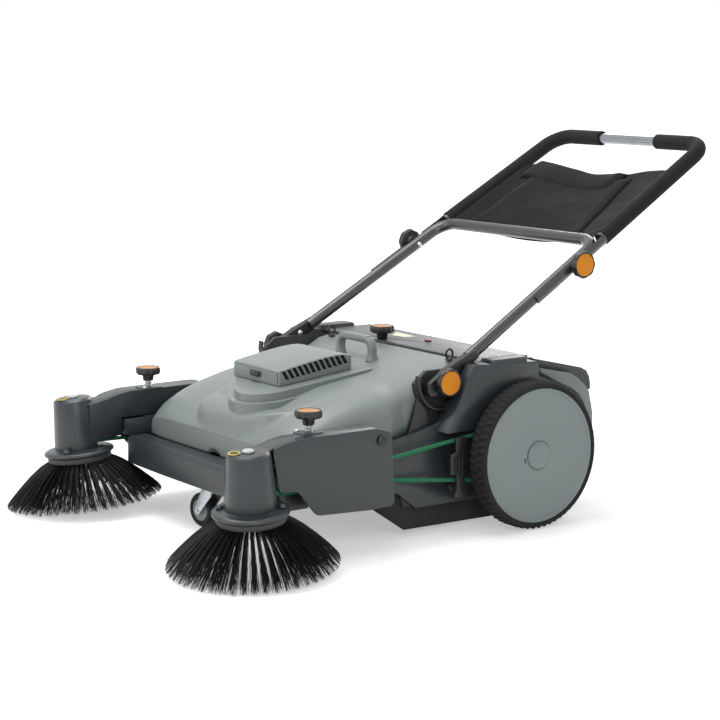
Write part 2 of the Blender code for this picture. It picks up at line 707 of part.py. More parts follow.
def make_skirt():
    inner = WALL_INNER_X + 0.002
    outline = [(-0.352, FRAME_FLOOR_Z - GAP), (-0.352, 0.078), (-0.257, SKIRT_LOW_Z + 0.003), (-0.030, SKIRT_LOW_Z),
               (-0.030, FRAME_LOW_Z - GAP), (-0.2625, FRAME_LOW_Z - GAP), (-0.2757, FRAME_FLOOR_Z - GAP)]
    skirt = slab("side_skirt_left", outline, "X", inner, inner + SKIRT_THICKNESS)
    pair(skirt, RUBBER)


# Hood

def hood_half_width(y):
    return on_line(((HOOD_FRONT_Y, HOOD_HALF_WIDTH), (-0.290, HOOD_HALF_WIDTH), (-0.254, WALL_INNER_X - 0.0015),
                    (-0.200, WALL_INNER_X - 0.0015), (-0.150, HOOD_REAR_HALF_WIDTH), (0, HOOD_REAR_HALF_WIDTH)), y)


def hood_point(across, y):
    """A point of the hood's outer face. Across runs from -1 at the right edge to 1 at the left."""
    angle = across * math.pi / 2
    power = 2.0 / HOOD_SHOULDER
    side = math.copysign(abs(math.sin(angle)) ** power, across) * hood_half_width(y)
    low, crown = on_line(HOOD_EDGE, y), on_line(HOOD_CROWN, y)
    height = low + (crown - low) * abs(math.cos(angle)) ** power
    front_share = (y - HOOD_REAR_Y) / (HOOD_FRONT_Y - HOOD_REAR_Y)
    bow = HOOD_FRONT_BOW * (side / HOOD_HALF_WIDTH) ** 8 * max(front_share, 0.0) ** 3
    return Vector((side, y + bow, height))


def make_hood_shell():
    columns, rows = 14, len(HOOD_ROWS) - 1
    shape = bmesh.new()
    bmesh.ops.create_grid(shape, x_segments=columns, y_segments=rows, size=1.0)
    for vert in shape.verts:
        y = HOOD_ROWS[round((vert.co.y + 1) / 2 * rows)]
        vert.co = hood_point(max(-1.0, min(1.0, vert.co.x)), y)
    shell = mesh_object("hood", shape)
    wall = shell.modifiers.new("wall", "SOLIDIFY")
    wall.thickness = HOOD_WALL
    wall.offset = -1.0
    return baked(shell)


def make_nose():
    """The wall that closes the hood's front, just inside the shell's front edge."""
    columns = 14
    shape = bmesh.new()
    rings = []
    for step in range(columns + 1):
        place = hood_point(-1 + 2 * step / columns, HOOD_FRONT_Y)
        if step in (0, columns):
            inner = hood_point((1 - 2 / columns) * (1 if step else -1), HOOD_FRONT_Y)
            place = inner.lerp(place, 0.46)
        front, rear, top = place.y + 0.0006, place.y + 0.0006 + HOOD_WALL, place.z + 0.0002
        low = HOOD_EDGE[0][1]
        rings.append([shape.verts.new(spot) for spot in ((place.x, front, low), (place.x, rear, low), (place.x, rear, top), (place.x, front, top))])
    for first, second in zip(rings, rings[1:]):
        for step in range(4):
            shape.faces.new((first[step], first[(step + 1) % 4], second[(step + 1) % 4], second[step]))
    shape.faces.new(rings[0])
    shape.faces.new(rings[-1])
    bmesh.ops.recalc_face_normals(shape, faces=shape.faces)
    return mesh_object("hood_nose", shape)


def plinth_top(y):
    return PLINTH_FRONT_Z + (y - PLINTH_FRONT_Y) * PLINTH_SLOPE


def sloped(obj, level, height):
    """Drops a slab's upper face onto the plinth's slope, and sets its lower face below it."""
    for vert in obj.data.vertices:
        top = vert.co.z > level
        vert.co.z = plinth_top(vert.co.y) - (0.0 if top else height)
    return obj


def plinth_outline(inset):
    half = PLINTH_HALF_WIDTH - inset
    front, rear = PLINTH_FRONT_Y + inset, PLINTH_REAR_Y - inset
    corner = PLINTH_CORNER - inset
    small = 0.012
    return (arc((half - corner, front + corner), corner, 0, -90, 6)
            + arc((corner - half, front + corner), corner, -90, -180, 6)
            + arc((small - half, rear - small), small, 180, 90, 2)
            + arc((half - small, rear - small), small, 90, 0, 2))


def vent_base(y):
    return plinth_top(y) + GAP


def make_hood():
    shell = make_hood_shell()
    plinth = sloped(slab("plinth", plinth_outline(PLINTH_STEP), "Z", 0.2, 0.3), 0.25, PLINTH_DEPTH)
    step = sloped(slab("plinth_step", plinth_outline(0.0), "Z", 0.2, 0.3), 0.25, PLINTH_DEPTH - 0.002)
    for vert in step.data.vertices:
        vert.co.z -= PLINTH_STEP_DROP
    hood = join(shell, make_nose(), step, plinth)
    well_front, well_rear = VENT_FRONT_Y + 0.016, VENT_REAR_Y - 0.016
    well = block("filter_well", (-FILTER_HALF_WIDTH - GAP, well_front, 0.2), (FILTER_HALF_WIDTH + GAP, well_rear, 0.4))
    hood = cut(hood, well)
    loops = []
    for side in (-1, 1):
        loops.append(pin("loop_bore", (side * LOOP_PLACE[0], LOOP_PLACE[1], 0.25), (0, 0, 1), 0.0035 + BORE_GAP, 0.0, 0.2))
    hood = cut(hood, *loops)
    finish(hood, GREY_GREEN)


def make_filter():
    low_y, high_y = VENT_FRONT_Y + 0.016 + GAP, VENT_REAR_Y - 0.016 - GAP
    low, high = plinth_top(low_y) - PLINTH_DEPTH + 0.004, plinth_top(low_y) - 0.004
    panel = block("filter_panel", (-FILTER_HALF_WIDTH, low_y, low), (FILTER_HALF_WIDTH, high_y, high), 0.001)
    finish(panel, PAPER)


def vent_outline(inset):
    """The vent cover's side outline, from its front foot over the top to its rear foot."""
    front, rear = VENT_FRONT_Y + inset, VENT_REAR_Y - inset
    return [(front, 0.3215 - inset), (-0.380, 0.3303 - inset), (-0.315, 0.3405 - inset),
            (-0.272, 0.3440 - inset), (rear, 0.3385 - inset)]


def make_vent():
    front, rear = VENT_FRONT_Y, VENT_REAR_Y
    outline = [(rear, vent_base(rear)), (front, vent_base(front))] + vent_outline(0.0)
    cover = slab("vent_cover", outline, "X", -VENT_HALF_WIDTH, VENT_HALF_WIDTH)
    edge = cover.modifiers.new("edge", "BEVEL")
    edge.width = 0.0033
    edge.segments = 1
    edge.limit_method = "ANGLE"
    edge.angle_limit = math.radians(50)
    cover = baked(cover)
    inner = [(rear - VENT_WALL, 0.2), (front + VENT_WALL, 0.2)] + vent_outline(VENT_WALL)
    cavity = slab("vent_cavity", inner, "X", VENT_WALL - VENT_HALF_WIDTH, VENT_HALF_WIDTH - VENT_WALL)
    slots = []
    pitch = (rear - front - 0.030) / VENT_SLOTS
    for index in range(VENT_SLOTS):
        y = front + 0.014 + pitch * index
        low = vent_base(y) + 0.009
        high = on_line(vent_outline(0.0), y) - 0.009
        slots.append(block("vent_slot", (-0.1, y - VENT_SLOT_WIDTH / 2 + 0.004, low), (0.1, y + VENT_SLOT_WIDTH / 2 + 0.004, high)))
    cover = cut(cover, cavity, one_mesh("vent_slots", slots))
    finish(cover, GREY_GREEN, (0, rear, vent_base(rear)))


def make_vent_latch():
    width, depth, height = LATCH_SIZE
    face = VENT_FRONT_Y - GAP
    latch = block("vent_latch", (-width / 2, face - depth, 0.3015), (width / 2, face, 0.3015 + height), 0.0015)
    finish(latch, BLACK, (0, face, 0.3015))


def make_carry_handle():
    """An arch on two posts whose feet stand just over the hood."""
    corner = 0.020
    top = CARRY_TOP_Z - CARRY_BAR
    span = CARRY_HALF_SPAN
    foot = hood_point(0.0, CARRY_Y + CARRY_BAR).z + GAP
    path = [(-span, CARRY_Y, foot)]
    path += [(x, CARRY_Y, z) for x, z in arc((corner - span, top - corner), corner, 180, 90, 4)]
    path += [(x, CARRY_Y, z) for x, z in arc((span - corner, top - corner), corner, 90, 0, 4)]
    path += [(span, CARRY_Y, foot)]
    arch = tube("carry_handle", path, CARRY_BAR, 2)
    arch = baked(arch)
    finish(arch, GREY_GREEN)


def make_pull_loop():
    """A plunger with an oval ring on a small base."""
    x, y = LOOP_PLACE
    seat = max(hood_point(side / 20, y + 0.009).z for side in range(6, 14)) + 0.0004
    base = block("pull_loop_left", (x - 0.008, y - 0.009, seat), (x + 0.008, y + 0.009, seat + 0.005), 0.001)
    ring = [(x, y + 0.0085 * math.cos(angle), seat + 0.0135 + 0.0095 * math.sin(angle))
            for angle in (2 * math.pi * step / 12 for step in range(12))]
    oval = baked(tube("loop_ring", ring, 0.0024, 1, cyclic=True))
    plunger = pin("loop_pin", (x, y, seat), (0, 0, 1), 0.0035, -0.010, 0.002)
    loop = join(base, oval, plunger)
    pair(loop, BLACK, (x, y, seat))


# Knobs

def knob_profile(stem_length, stem_radius, hub_length, radius):
    """From the cap down: lobed head, hub and stem. Height 0 is the hub's lower face."""
    top = hub_length + KNOB_THICKNESS
    return [(0, top), (radius * 0.82, top), (radius, top - 0.004),
            (radius * 0.96, hub_length), (KNOB_HUB_RADIUS, hub_length - 0.001), (KNOB_HUB_RADIUS * 0.9, 0),
            (stem_radius, 0), (stem_radius, -stem_length), (0, -stem_length)]


def make_knob(name, centre, direction, stem_length, stem_radius, hub_length=KNOB_HUB_LENGTH, radius=KNOB_RADIUS):
    steps = KNOB_LOBES * 2
    shape = turned(name, knob_profile(stem_length, stem_radius, hub_length, radius), Matrix.Identity(4), steps)
    for vert in shape.data.vertices:
        if math.hypot(vert.co.x, vert.co.y) > radius * 0.9:
            angle = math.atan2(vert.co.y, vert.co.x)
            factor = 1 - KNOB_LOBE_DEPTH / radius * (1 - math.cos(KNOB_LOBES * angle)) / 2
            vert.co.x *= factor
            vert.co.y *= factor
    shape.matrix_world = towards(direction, centre)
    return baked(shape)


def make_deck_knob():
    x, y = DECK_KNOB
    seat = DECK_TOP_Z + GAP
    knob = make_knob("brush_knob", (x, y, seat), (0, 0, 1), 0.014, STEM_RADIUS, KNOB_NECK_LENGTH)
    finish(knob, BLACK, (x, y, seat))


# Side brooms

def broom_axis():
    low = Vector((math.cos(BROOM_LOW_SIDE), math.sin(BROOM_LOW_SIDE), 0.0))
    return (Vector((0, 0, math.cos(BROOM_TILT))) - low * -math.sin(BROOM_TILT)).normalized()


def broom_matrix():
    return towards(broom_axis(), (BROOM_X, BROOM_Y, DISC_Z))


def broom_place(x, y, height):
    return broom_matrix() @ Vector((x, y, height))


def arm_top():
    """The arm's top line in the side view, from its rear corner forward."""
    return [(-0.3384, 0.2215), (-0.3450, 0.2330), (-0.3720, ARM_TOP_Z), (-0.5530, ARM_TOP_Z), (-0.5850, 0.2370),
            (-0.6100, 0.2300)]


def head_profile(inset, low, high):
    share = (HEAD_LOW_RADIUS - HEAD_TOP_RADIUS) / HEAD_HEIGHT
    wide = HEAD_LOW_RADIUS - inset
    return [(0, high), (wide - share * (high - HEAD_LOW) - 0.006, high), (wide - share * (high - HEAD_LOW), high - 0.005),
            (wide, low), (0, low)]


def make_arm():
    top = arm_top()
    outline = top + [(-0.650, 0.222), (-0.650, 0.142), (-0.577, 0.151), (-0.5765, 0.188), (-0.3384, 0.188)]
    arm = slab("broom_arm_left", outline, "X", ARM_INNER_X, ARM_OUTER_X)
    lowered = [(y, z - ARM_WALL) for y, z in top]
    lowered[0] = (-0.300, 0.2180)
    channel = lowered + [(-0.640, 0.210), (-0.640, 0.05), (-0.300, 0.05)]
    inside = slab("arm_channel", channel, "X", ARM_INNER_X + ARM_WALL, ARM_OUTER_X + 0.02)
    arm = cut(arm, inside)
    head = turned("arm_head", head_profile(0.0, HEAD_LOW, HEAD_LOW + HEAD_HEIGHT), broom_matrix(), 18)
    arm = join(arm, head)
    hollow = turned("head_hollow", head_profile(HEAD_WALL, HEAD_LOW - 0.01, HEAD_LOW + 0.045), broom_matrix(), 14)
    bore = SPINDLE_RADIUS + BORE_GAP
    bearing = turned("head_bearing", [(0, 0.085), (bore, 0.085), (bore, -0.01), (0, -0.01)], broom_matrix(), 12)
    belt_room = block("head_belt_room", (ARM_INNER_X + ARM_WALL + 0.0005, BROOM_Y + 0.010, 0.100), (ARM_OUTER_X + 0.014, -0.560, 0.164))
    x, y = HEIGHT_KNOB
    stem_bore = pin("stem_bore", (x, y, 0.2), (0, 0, 1), STEM_RADIUS + BORE_GAP, 0.0, 0.1)
    pivot_y, pivot_z = ARM_PIVOT
    pivot_bore = pin("pivot_bore", (0.25, pivot_y, pivot_z), (1, 0, 0), ARM_PIVOT_RADIUS + BORE_GAP, 0.0, 0.2)
    base = block("knob_base", (x - 0.020, y - 0.022, ARM_TOP_Z - 0.0035), (x + 0.016, y + 0.022, ARM_TOP_Z + BASE_PLATE_THICKNESS))
    arm = join(arm, base)
    arm = cut(arm, hollow, bearing, belt_room, stem_bore, pivot_bore)
    pair(arm, SLATE, (ARM_OUTER_X, pivot_y, pivot_z))


def make_arm_plate():
    low = ARM_OUTER_X + GAP
    outline = arm_top() + [(-0.5955, 0.1445), (-0.5571, 0.1449), (-0.5125, 0.0915), (-0.3905, 0.0852), (-0.3380, 0.0875), (-0.3315, 0.0945)]
    plate = slab("arm_plate_left", outline, "X", low, low + ARM_PLATE_THICKNESS,
                 holes=[circle(ARM_PIVOT, ARM_PIVOT_RADIUS + BORE_GAP, 12)])
    pair(plate, SLATE, (ARM_OUTER_X, *ARM_PIVOT))


def make_height_knob():
    x, y = HEIGHT_KNOB
    spring_seat = ARM_TOP_Z + BASE_PLATE_THICKNESS
    hub = spring_seat + SPRING_HEIGHT + 2 * GAP
    knob = make_knob("height_knob_left", (x, y, hub), (0, 0, 1), hub - BRACKET_Z - GAP, STEM_RADIUS, KNOB_NECK_LENGTH)
    pair(knob, BLACK, (x, y, hub))


def make_stem_spring():
    """One unbroken coil round the stem, between the base plate and the knob."""
    x, y = HEIGHT_KNOB
    low = ARM_TOP_Z + BASE_PLATE_THICKNESS + GAP + SPRING_WIRE_RADIUS
    rise = SPRING_HEIGHT - 2 * SPRING_WIRE_RADIUS
    per_curl = 6
    total = SPRING_CURLS * per_curl
    points = []
    for step in range(total + 1):
        angle = 2 * math.pi * step / per_curl
        points.append(Vector((x + SPRING_RADIUS * math.cos(angle), y + SPRING_RADIUS * math.sin(angle), low + rise * step / total)))
    least = min((first - second).length for index, first in enumerate(points) for second in points[index + per_curl // 2:])
    print(f"Spring's least gap to itself: {(least - 2 * SPRING_WIRE_RADIUS) * 1000:.2f} mm")
    spring = baked(tube("stem_spring_left", points, SPRING_WIRE_RADIUS, 1))
    pair(spring, STEEL)


def make_guard_disc():
    half = GUARD_THICKNESS / 2
    bore = 0.0200
    profile = [(bore, half), (HEAD_LOW_RADIUS, half), (GUARD_RADIUS - 0.006, half - 0.004), (GUARD_RADIUS, -0.001),
               (GUARD_RADIUS - 0.002, -half), (bore, -half)]
    disc = turned("guard_disc_left", profile, broom_matrix(), 18, ring=True)
    pair(disc, SLATE)


def make_spindle():
    pulley_low = BROOM_PULLEY_HEIGHT - 0.0055
    pulley_high = BROOM_PULLEY_HEIGHT + 0.0055
    flange = BROOM_PULLEY_RADIUS + 0.0045
    hub = BACKING_BORE - GAP
    profile = [(0, 0.080), (SPINDLE_RADIUS, 0.080), (SPINDLE_RADIUS, pulley_high), (flange, pulley_high),
               (BROOM_PULLEY_RADIUS, BROOM_PULLEY_HEIGHT + 0.0022), (BROOM_PULLEY_RADIUS, BROOM_PULLEY_HEIGHT - 0.0022),
               (flange, pulley_low), (0.0185, pulley_low), (0.0185, BACKING_TOP + 0.0005), (hub, BACKING_TOP), (hub, BACKING_BOTTOM), (0, BACKING_BOTTOM)]
    spindle = turned("broom_spindle_left", profile, broom_matrix(), 12)
    pair(spindle, BLACK, (BROOM_X, BROOM_Y, DISC_Z))


def make_bristles():
    """A backing ring whose underside is drawn out into strands, one from each cell of a polar grid."""
    row_depth = (BRISTLE_OUTER_RADIUS - BRISTLE_INNER_RADIUS) / BRISTLE_ROWS
    profile = [(BACKING_BORE, BACKING_TOP), (BACKING_RADIUS, BACKING_TOP), (BACKING_RADIUS, BACKING_BOTTOM + 0.001)]
    profile += [(BRISTLE_OUTER_RADIUS - row * row_depth, BACKING_BOTTOM) for row in range(BRISTLE_ROWS + 1)]
    profile += [(BACKING_BORE, BACKING_BOTTOM + 0.001)]
    ring = turned("bristle_ring", profile, Matrix.Identity(4), BRISTLE_COLUMNS, ring=True)
    shape = bmesh.new()
    shape.from_mesh(ring.data)
    bpy.data.objects.remove(ring, do_unlink=True)
    cells = []
    for face in shape.faces:
        middle = face.calc_center_median()
        radius = math.hypot(middle.x, middle.y)
        if middle.z > BACKING_BOTTOM + 1e-5 or not BRISTLE_INNER_RADIUS < radius < BRISTLE_OUTER_RADIUS:
            continue
        row = int((radius - BRISTLE_INNER_RADIUS) / row_depth)
        cells.append((face, row, math.atan2(middle.y, middle.x)))
    faces = [cell[0] for cell in cells]
    spots = {tuple(round(value, 6) for value in face.calc_center_median()): (row, angle) for face, row, angle in cells}
    tips = bmesh.ops.extrude_discrete_faces(shape, faces=faces)["faces"]
    for face in tips:
        middle = face.calc_center_median()
        row, angle = spots[tuple(round(value, 6) for value in middle)]
        reach = BRISTLE_TIP_RADIUS - (BRISTLE_ROWS - 1 - row) * 0.008
        spread = Vector((math.cos(angle), math.sin(angle), 0))
        across = Vector((-spread.y, spread.x, 0))
        for vert in face.verts:
            offset = vert.co - middle
            side = math.copysign(TIP_SIZE, offset.dot(across))
            out = math.copysign(TIP_SIZE * 0.8, offset.dot(spread))
            vert.co = spread * (reach + out) + across * side + Vector((0, 0, -BRISTLE_DROP))
    bristles = mesh_object("broom_bristles_left", shape)
    bristles.matrix_world = broom_matrix()
    bristles = baked(bristles)
    pair(bristles, RUBBER, (BROOM_X, BROOM_Y, DISC_Z))


def drive_belt_points():
    """The left belt's closed route: round the wheel pulley, along to the broom pulley and back over the idler."""
    wheel_reach = DRIVE_PULLEY_RADIUS + BELT_RADIUS + BELT_SEAT
    broom_reach = BROOM_PULLEY_RADIUS + BELT_RADIUS + BELT_SEAT
    points = []
    for y, z in arc((0.0, WHEEL_RADIUS), wheel_reach, -100, 100, 10):
        points.append(Vector((BELT_X, y, z)))
    for step in range(8):
        angle = math.radians(-180 * step / 7)
        points.append(broom_place(broom_reach * math.cos(angle), broom_reach * math.sin(angle), BROOM_PULLEY_HEIGHT))
    points.append(Vector((BELT_X, -0.335, 0.1202 + 0.0079 + BELT_RADIUS + 0.0005)))
    points.insert(11, Vector(BELT_GUIDE_POINT))
    return points


def make_drive_belt():
    belt = tube("drive_belt_left", drive_belt_points(), BELT_RADIUS, 2, cyclic=True)
    pair(baked(belt), GREEN)


def make_roller_belt():
    wheel_reach = ROLLER_GROOVE_RADIUS + BELT_RADIUS + BELT_SEAT
    roller_reach = ROLLER_PULLEY_RADIUS + BELT_RADIUS + BELT_SEAT
    lean = math.degrees(math.atan2(WHEEL_RADIUS - ROLLER_Z, -ROLLER_Y))
    points = arc((0.0, WHEEL_RADIUS), wheel_reach, lean - 96, lean + 96, 8)
    points += arc((ROLLER_Y, ROLLER_Z), roller_reach, lean + 96, lean + 264, 6)
    belt = tube("roller_belt", [Vector((-ROLLER_BELT_X, y, z)) for y, z in points], BELT_RADIUS, 2, cyclic=True)
    finish(baked(belt), BLACK)


def make_belt_guide():
    x = BELT_X + BELT_RADIUS + 0.0050
    outline = [(-0.188, 0.126), (-0.172, 0.126), (-0.172, 0.090), (-0.178, 0.086), (-0.178, 0.078), (-0.150, 0.078), (-0.150, 0.110),
               (-0.156, 0.116), (-0.156, 0.168), (-0.150, 0.173), (-0.150, 0.199), (-0.174, 0.199), (-0.174, 0.170), (-0.188, 0.166)]
    holes = [circle((-0.178, 0.157), 0.0045, 8), circle((-0.178, 0.135), 0.0045, 8)]
    guide = slab("belt_guide_left", outline, "X", x, x + 0.006, holes=holes)
    arm = block("guide_arm", (PANEL_OUTER_X + GAP, -0.176, 0.141), (x + 0.001, -0.158, 0.151))
    guide = join(guide, arm)
    pair(guide, BLACK)


# Roller brush

def make_roller():
    """The shaft, its core and its belt pulley at the right end, turned in one piece."""
    end = PANEL_OUTER_X + 0.003
    shaft = ROLLER_SHAFT_RADIUS
    flange = ROLLER_PULLEY_RADIUS + 0.005
    middle = -ROLLER_BELT_X
    profile = [(0, end), (shaft, end), (shaft, ROLLER_HALF_LENGTH), (ROLLER_CORE_RADIUS, ROLLER_HALF_LENGTH),
               (ROLLER_CORE_RADIUS, -ROLLER_HALF_LENGTH), (shaft, -ROLLER_HALF_LENGTH), (shaft, middle + 0.0058),
               (flange, middle + 0.0058), (ROLLER_PULLEY_RADIUS, middle + 0.0022), (ROLLER_PULLEY_RADIUS, middle - 0.0022),
               (flange, middle - 0.0058), (0, middle - 0.0058)]
    roller = turned("brush_roller", profile, towards((1, 0, 0), (0, ROLLER_Y, ROLLER_Z)), 16)
    finish(roller, BLACK, (0, ROLLER_Y, ROLLER_Z))


def make_roller_bristles():
    outline = []
    for row in range(ROLLER_ROWS):
        middle = 360 / ROLLER_ROWS * row - 90
        for offset, radius in ((-9, ROLLER_RADIUS), (9, ROLLER_RADIUS), (13, ROLLER_RADIUS * 0.80), (17, ROLLER_RADIUS * 0.80)):
            outline += arc((ROLLER_Y, ROLLER_Z), radius, middle + offset, middle + offset, 1)[:1]
    bristles = slab("roller_bristles", outline, "X", -ROLLER_HALF_LENGTH + 0.001, ROLLER_HALF_LENGTH - 0.001,
                    holes=[circle((ROLLER_Y, ROLLER_Z), ROLLER_CORE_RADIUS + GAP, 16)])
    finish(bristles, RUBBER, (0, ROLLER_Y, ROLLER_Z))


# Caster

def caster_matrix():
    return Matrix.Translation((0, CASTER_Y, 0)) @ Matrix.Rotation(CASTER_TURN, 4, "Z")


def make_caster():
    width, depth, thickness = CASTER_PLATE
    top = FRAME_FLOOR_Z - GAP
    plate = block("caster_plate", (-width / 2, CASTER_Y - depth / 2, top - thickness), (width / 2, CASTER_Y + depth / 2, top), 0.001)
    finish(plate, STEEL)
    crown_top = top - thickness - GAP
    crown_low = CASTER_RADIUS * 2 + 0.008
    centre = (0, 0, 0)
    crown = pin("caster_fork", centre, (0, 0, 1), 0.021, crown_low, crown_top, 12)
    legs = []
    for side in (-1, 1):
        inner = side * CASTER_FORK_GAP
        outer = side * (CASTER_FORK_GAP + CASTER_FORK_THICKNESS)
        outline = [(0.014, crown_low + 0.004), (0.012, crown_low - 0.008)] + arc((-CASTER_TRAIL, CASTER_RADIUS), 0.008, -30, -200, 5)
        outline += [(-0.016, crown_low + 0.004)]
        legs.append(slab("fork_leg", outline, "X", min(inner, outer), max(inner, outer)))
    axle = pin("fork_axle", (0, -CASTER_TRAIL, CASTER_RADIUS), (1, 0, 0), 0.004,
               -CASTER_FORK_GAP - CASTER_FORK_THICKNESS - 0.003, CASTER_FORK_GAP + CASTER_FORK_THICKNESS + 0.003, 10)
    fork = join(crown, *legs, axle)
    fork.matrix_world = caster_matrix()
    fork = baked(fork)
    finish(fork, STEEL, (0, CASTER_Y, crown_top))
    wheel_place = caster_matrix() @ Matrix.Translation((0, -CASTER_TRAIL, CASTER_RADIUS)) @ towards((1, 0, 0), (0, 0, 0))
    half = CASTER_WIDTH / 2
    tread = [(CASTER_HUB_RADIUS + GAP, half - 0.002), (CASTER_RADIUS - 0.005, half), (CASTER_RADIUS, half - 0.005),
             (CASTER_RADIUS, 0.005 - half), (CASTER_RADIUS - 0.005, -half), (CASTER_HUB_RADIUS + GAP, 0.002 - half)]
    axis = wheel_place.translation
    tyre = turned("caster_tyre", tread, wheel_place, 16, ring=True)
    finish(tyre, RUBBER, axis)
    hub = [(0.0043, half - 0.001), (CASTER_HUB_RADIUS, half - 0.003), (CASTER_HUB_RADIUS, 0.003 - half), (0.0043, 0.001 - half)]
    finish(turned("caster_hub", hub, wheel_place, 16, ring=True), WHEEL_GREY, axis)


# Push handle

def handle_point(x, along, up=0.0):
    base = Vector((x, *HANDLE_PIVOT))
    return base + HANDLE_AXIS * along + HANDLE_NORMAL * up


def leg_x(half, along):
    """How far a leg stands from the middle, at a length along it: the legs close towards the top bar."""
    return half - HANDLE_TAPER * along


def u_path(half, start, bend, end):
    """Half a U in the handle's plane: up the left leg and round its bend."""
    lean = math.atan(HANDLE_TAPER)
    middle = end - bend
    centre_x = leg_x(half, middle + bend * math.sin(lean)) - bend * math.cos(lean)
    points = [handle_point(leg_x(half, start), start)]
    for step in range(7):
        angle = lean + (math.pi / 2 - lean) * step / 6
        points.append(handle_point(centre_x + bend * math.cos(angle), middle + bend * math.sin(angle)))
    return points


def whole_u(half, start, bend, end):
    left = u_path(half, start, bend, end)
    return left + [MIRROR @ point for point in left[::-1]]


def make_handle_frame():
    frame = baked(tube("handle_frame", whole_u(HANDLE_X, 0.075, CROSSBAR_BEND, CROSSBAR_AT), LEG_RADIUS, 2))
    feet = []
    for side in (-1, 1):
        outline = []
        for along, up in (arc((-FOOT_LENGTH + FOOT_RADIUS, 0), FOOT_RADIUS, 90, 270, 6)
                          + [(0.020, -FOOT_RADIUS), (LEG_TAPER_END, -0.009), (LEG_TAPER_END, 0.009), (0.020, FOOT_RADIUS)]):
            place = handle_point(0, along, up)
            outline.append((place.y, place.z))
        middle = side * HANDLE_X
        feet.append(slab("leg_foot", outline, "X", middle - FOOT_THICKNESS / 2, middle + FOOT_THICKNESS / 2,
                         holes=[circle(HANDLE_PIVOT, HANDLE_PIN_RADIUS + BORE_GAP, 12)]))
    frame = join(frame, *feet)
    finish(frame, GUNMETAL, (0, *HANDLE_PIVOT))


def make_lower_knob():
    seat = HANDLE_X + FOOT_THICKNESS / 2 + 0.001 + GAP
    knob = make_knob("lower_knob_left", (seat, *HANDLE_PIVOT), (1, 0, 0), 0.0002, 0.009, radius=CLAMP_KNOB_RADIUS)
    pair(knob, BLACK, (seat, *HANDLE_PIVOT))


def handle_slab(name, outline, half):
    """A flat outline of (x, along) points lying on the handle, half above and below its middle plane."""
    made = slab(name, outline, "Z", -half, half)
    made.matrix_world = Matrix.Translation((0, *HANDLE_PIVOT)) @ Matrix.Rotation(HANDLE_SLOPE, 4, "X")
    return baked(made)


def make_upper_handle():
    """A full tube above the lower frame. Below that, only its outer strip lies along the lower leg."""
    upper = baked(tube("upper_handle", whole_u(UPPER_X, SLEEVE_END_AT - 0.003, TOP_BEND, TOP_BAR_AT), UPPER_RADIUS, 2))
    sleeves = []
    for side in (-1, 1):
        ends = [handle_point(side * leg_x(UPPER_X, along), along) for along in (UPPER_START_AT, SLEEVE_END_AT)]
        sleeves.append(baked(tube("sleeve", ends, SLEEVE_RADIUS, 2)))
    upper = join(upper, *sleeves)
    inside = HANDLE_X + LEG_RADIUS + GAP
    low, high = UPPER_START_AT - 0.02, UPPER_FULL_AT
    room = handle_slab("leg_room", [(-leg_x(inside, low), low), (leg_x(inside, low), low), (leg_x(inside, high), high),
                                    (-leg_x(inside, high), high)], 0.03)
    # Near the fold the strips stand further out, so that they clear the wider part of each leg as they turn.
    reach = leg_x(inside, UPPER_KNOB_AT - FOLD_ROOM)
    rooms = [pin("fold_room", handle_point(0, UPPER_KNOB_AT), (side, 0, 0), FOLD_ROOM + 0.001, 0.2, reach, 20) for side in (-1, 1)]
    upper = cut(upper, room, *rooms)
    finish(upper, GUNMETAL, handle_point(0, UPPER_KNOB_AT))


def make_upper_knob():
    centre = handle_point(leg_x(UPPER_X, UPPER_KNOB_AT) + SLEEVE_RADIUS + 0.0006 + GAP, UPPER_KNOB_AT)
    knob = make_knob("upper_knob_left", centre, (1, 0, 0), 0.0002, 0.009, radius=CLAMP_KNOB_RADIUS)
    pair(knob, BLACK, centre)


def make_foam_grip():
    """A sleeve round the upper handle's side and bend, open at both ends."""
    path = u_path(UPPER_X, FOAM_START_AT, TOP_BEND, TOP_BAR_AT) + [handle_point(FOAM_END_X, TOP_BAR_AT)]
    sleeve = tube("foam_grip_left", path, FOAM_RADIUS, 2, capped=False)
    sleeve = baked(sleeve)
    wall = sleeve.modifiers.new("wall", "SOLIDIFY")
    wall.thickness = FOAM_RADIUS - UPPER_RADIUS - GAP
    wall.offset = -1.0
    sleeve = baked(sleeve)
    pair(sleeve, FOAM)


def make_bag():
    """The tool bag's space: a sagging pad between the grips."""
    shape = bmesh.new()
    bmesh.ops.create_grid(shape, x_segments=8, y_segments=3, size=1.0)
    for vert in shape.verts:
        across, along = vert.co.x, (vert.co.y + 1) / 2
        sag = BAG_SAG * (1 - across ** 2) * (1 - 0.55 * along)
        length = BAG_START_AT + (BAG_END_AT - BAG_START_AT) * along
        half = leg_x(UPPER_X, length) - FOAM_RADIUS - 0.0018
        vert.co = handle_point(across * half, length, BAG_THICKNESS / 2 - sag)
    bag = mesh_object("tool_bag", shape)
    pad = bag.modifiers.new("pad", "SOLIDIFY")
    pad.thickness = BAG_THICKNESS
    pad.offset = -1.0
    bag = baked(bag)
    finish(bag, CLOTH)


# Dust bin

def lid_line(drop):
    """The lid's top line in the side view, from its front edge to its rear lip, sunk square to itself by drop."""
    top = [(BIN_FRONT_Y - 0.001, 0.3283, 0.0, 1.0), (0.1285, 0.3124, 0.0, 1.0), (0.1838, 0.2997, 0.25, 1.0),
           (0.1979, 0.2921, 0.65, 0.85), (0.2066, 0.2785, 0.93, 0.45), (0.2099, 0.2613, 1.0, 0.1), (0.2088, 0.2510, 1.0, 0.0)]
    return [(y - drop * back, z - drop * down) for y, z, back, down in top]


LID_BAND_LINE = ((0.1950, 0.2498), (0.1830, 0.2652), (0.1633, 0.2819), (0.1410, 0.2945), (0.0945, 0.3053), (BIN_FRONT_Y - 0.001, 0.3128))


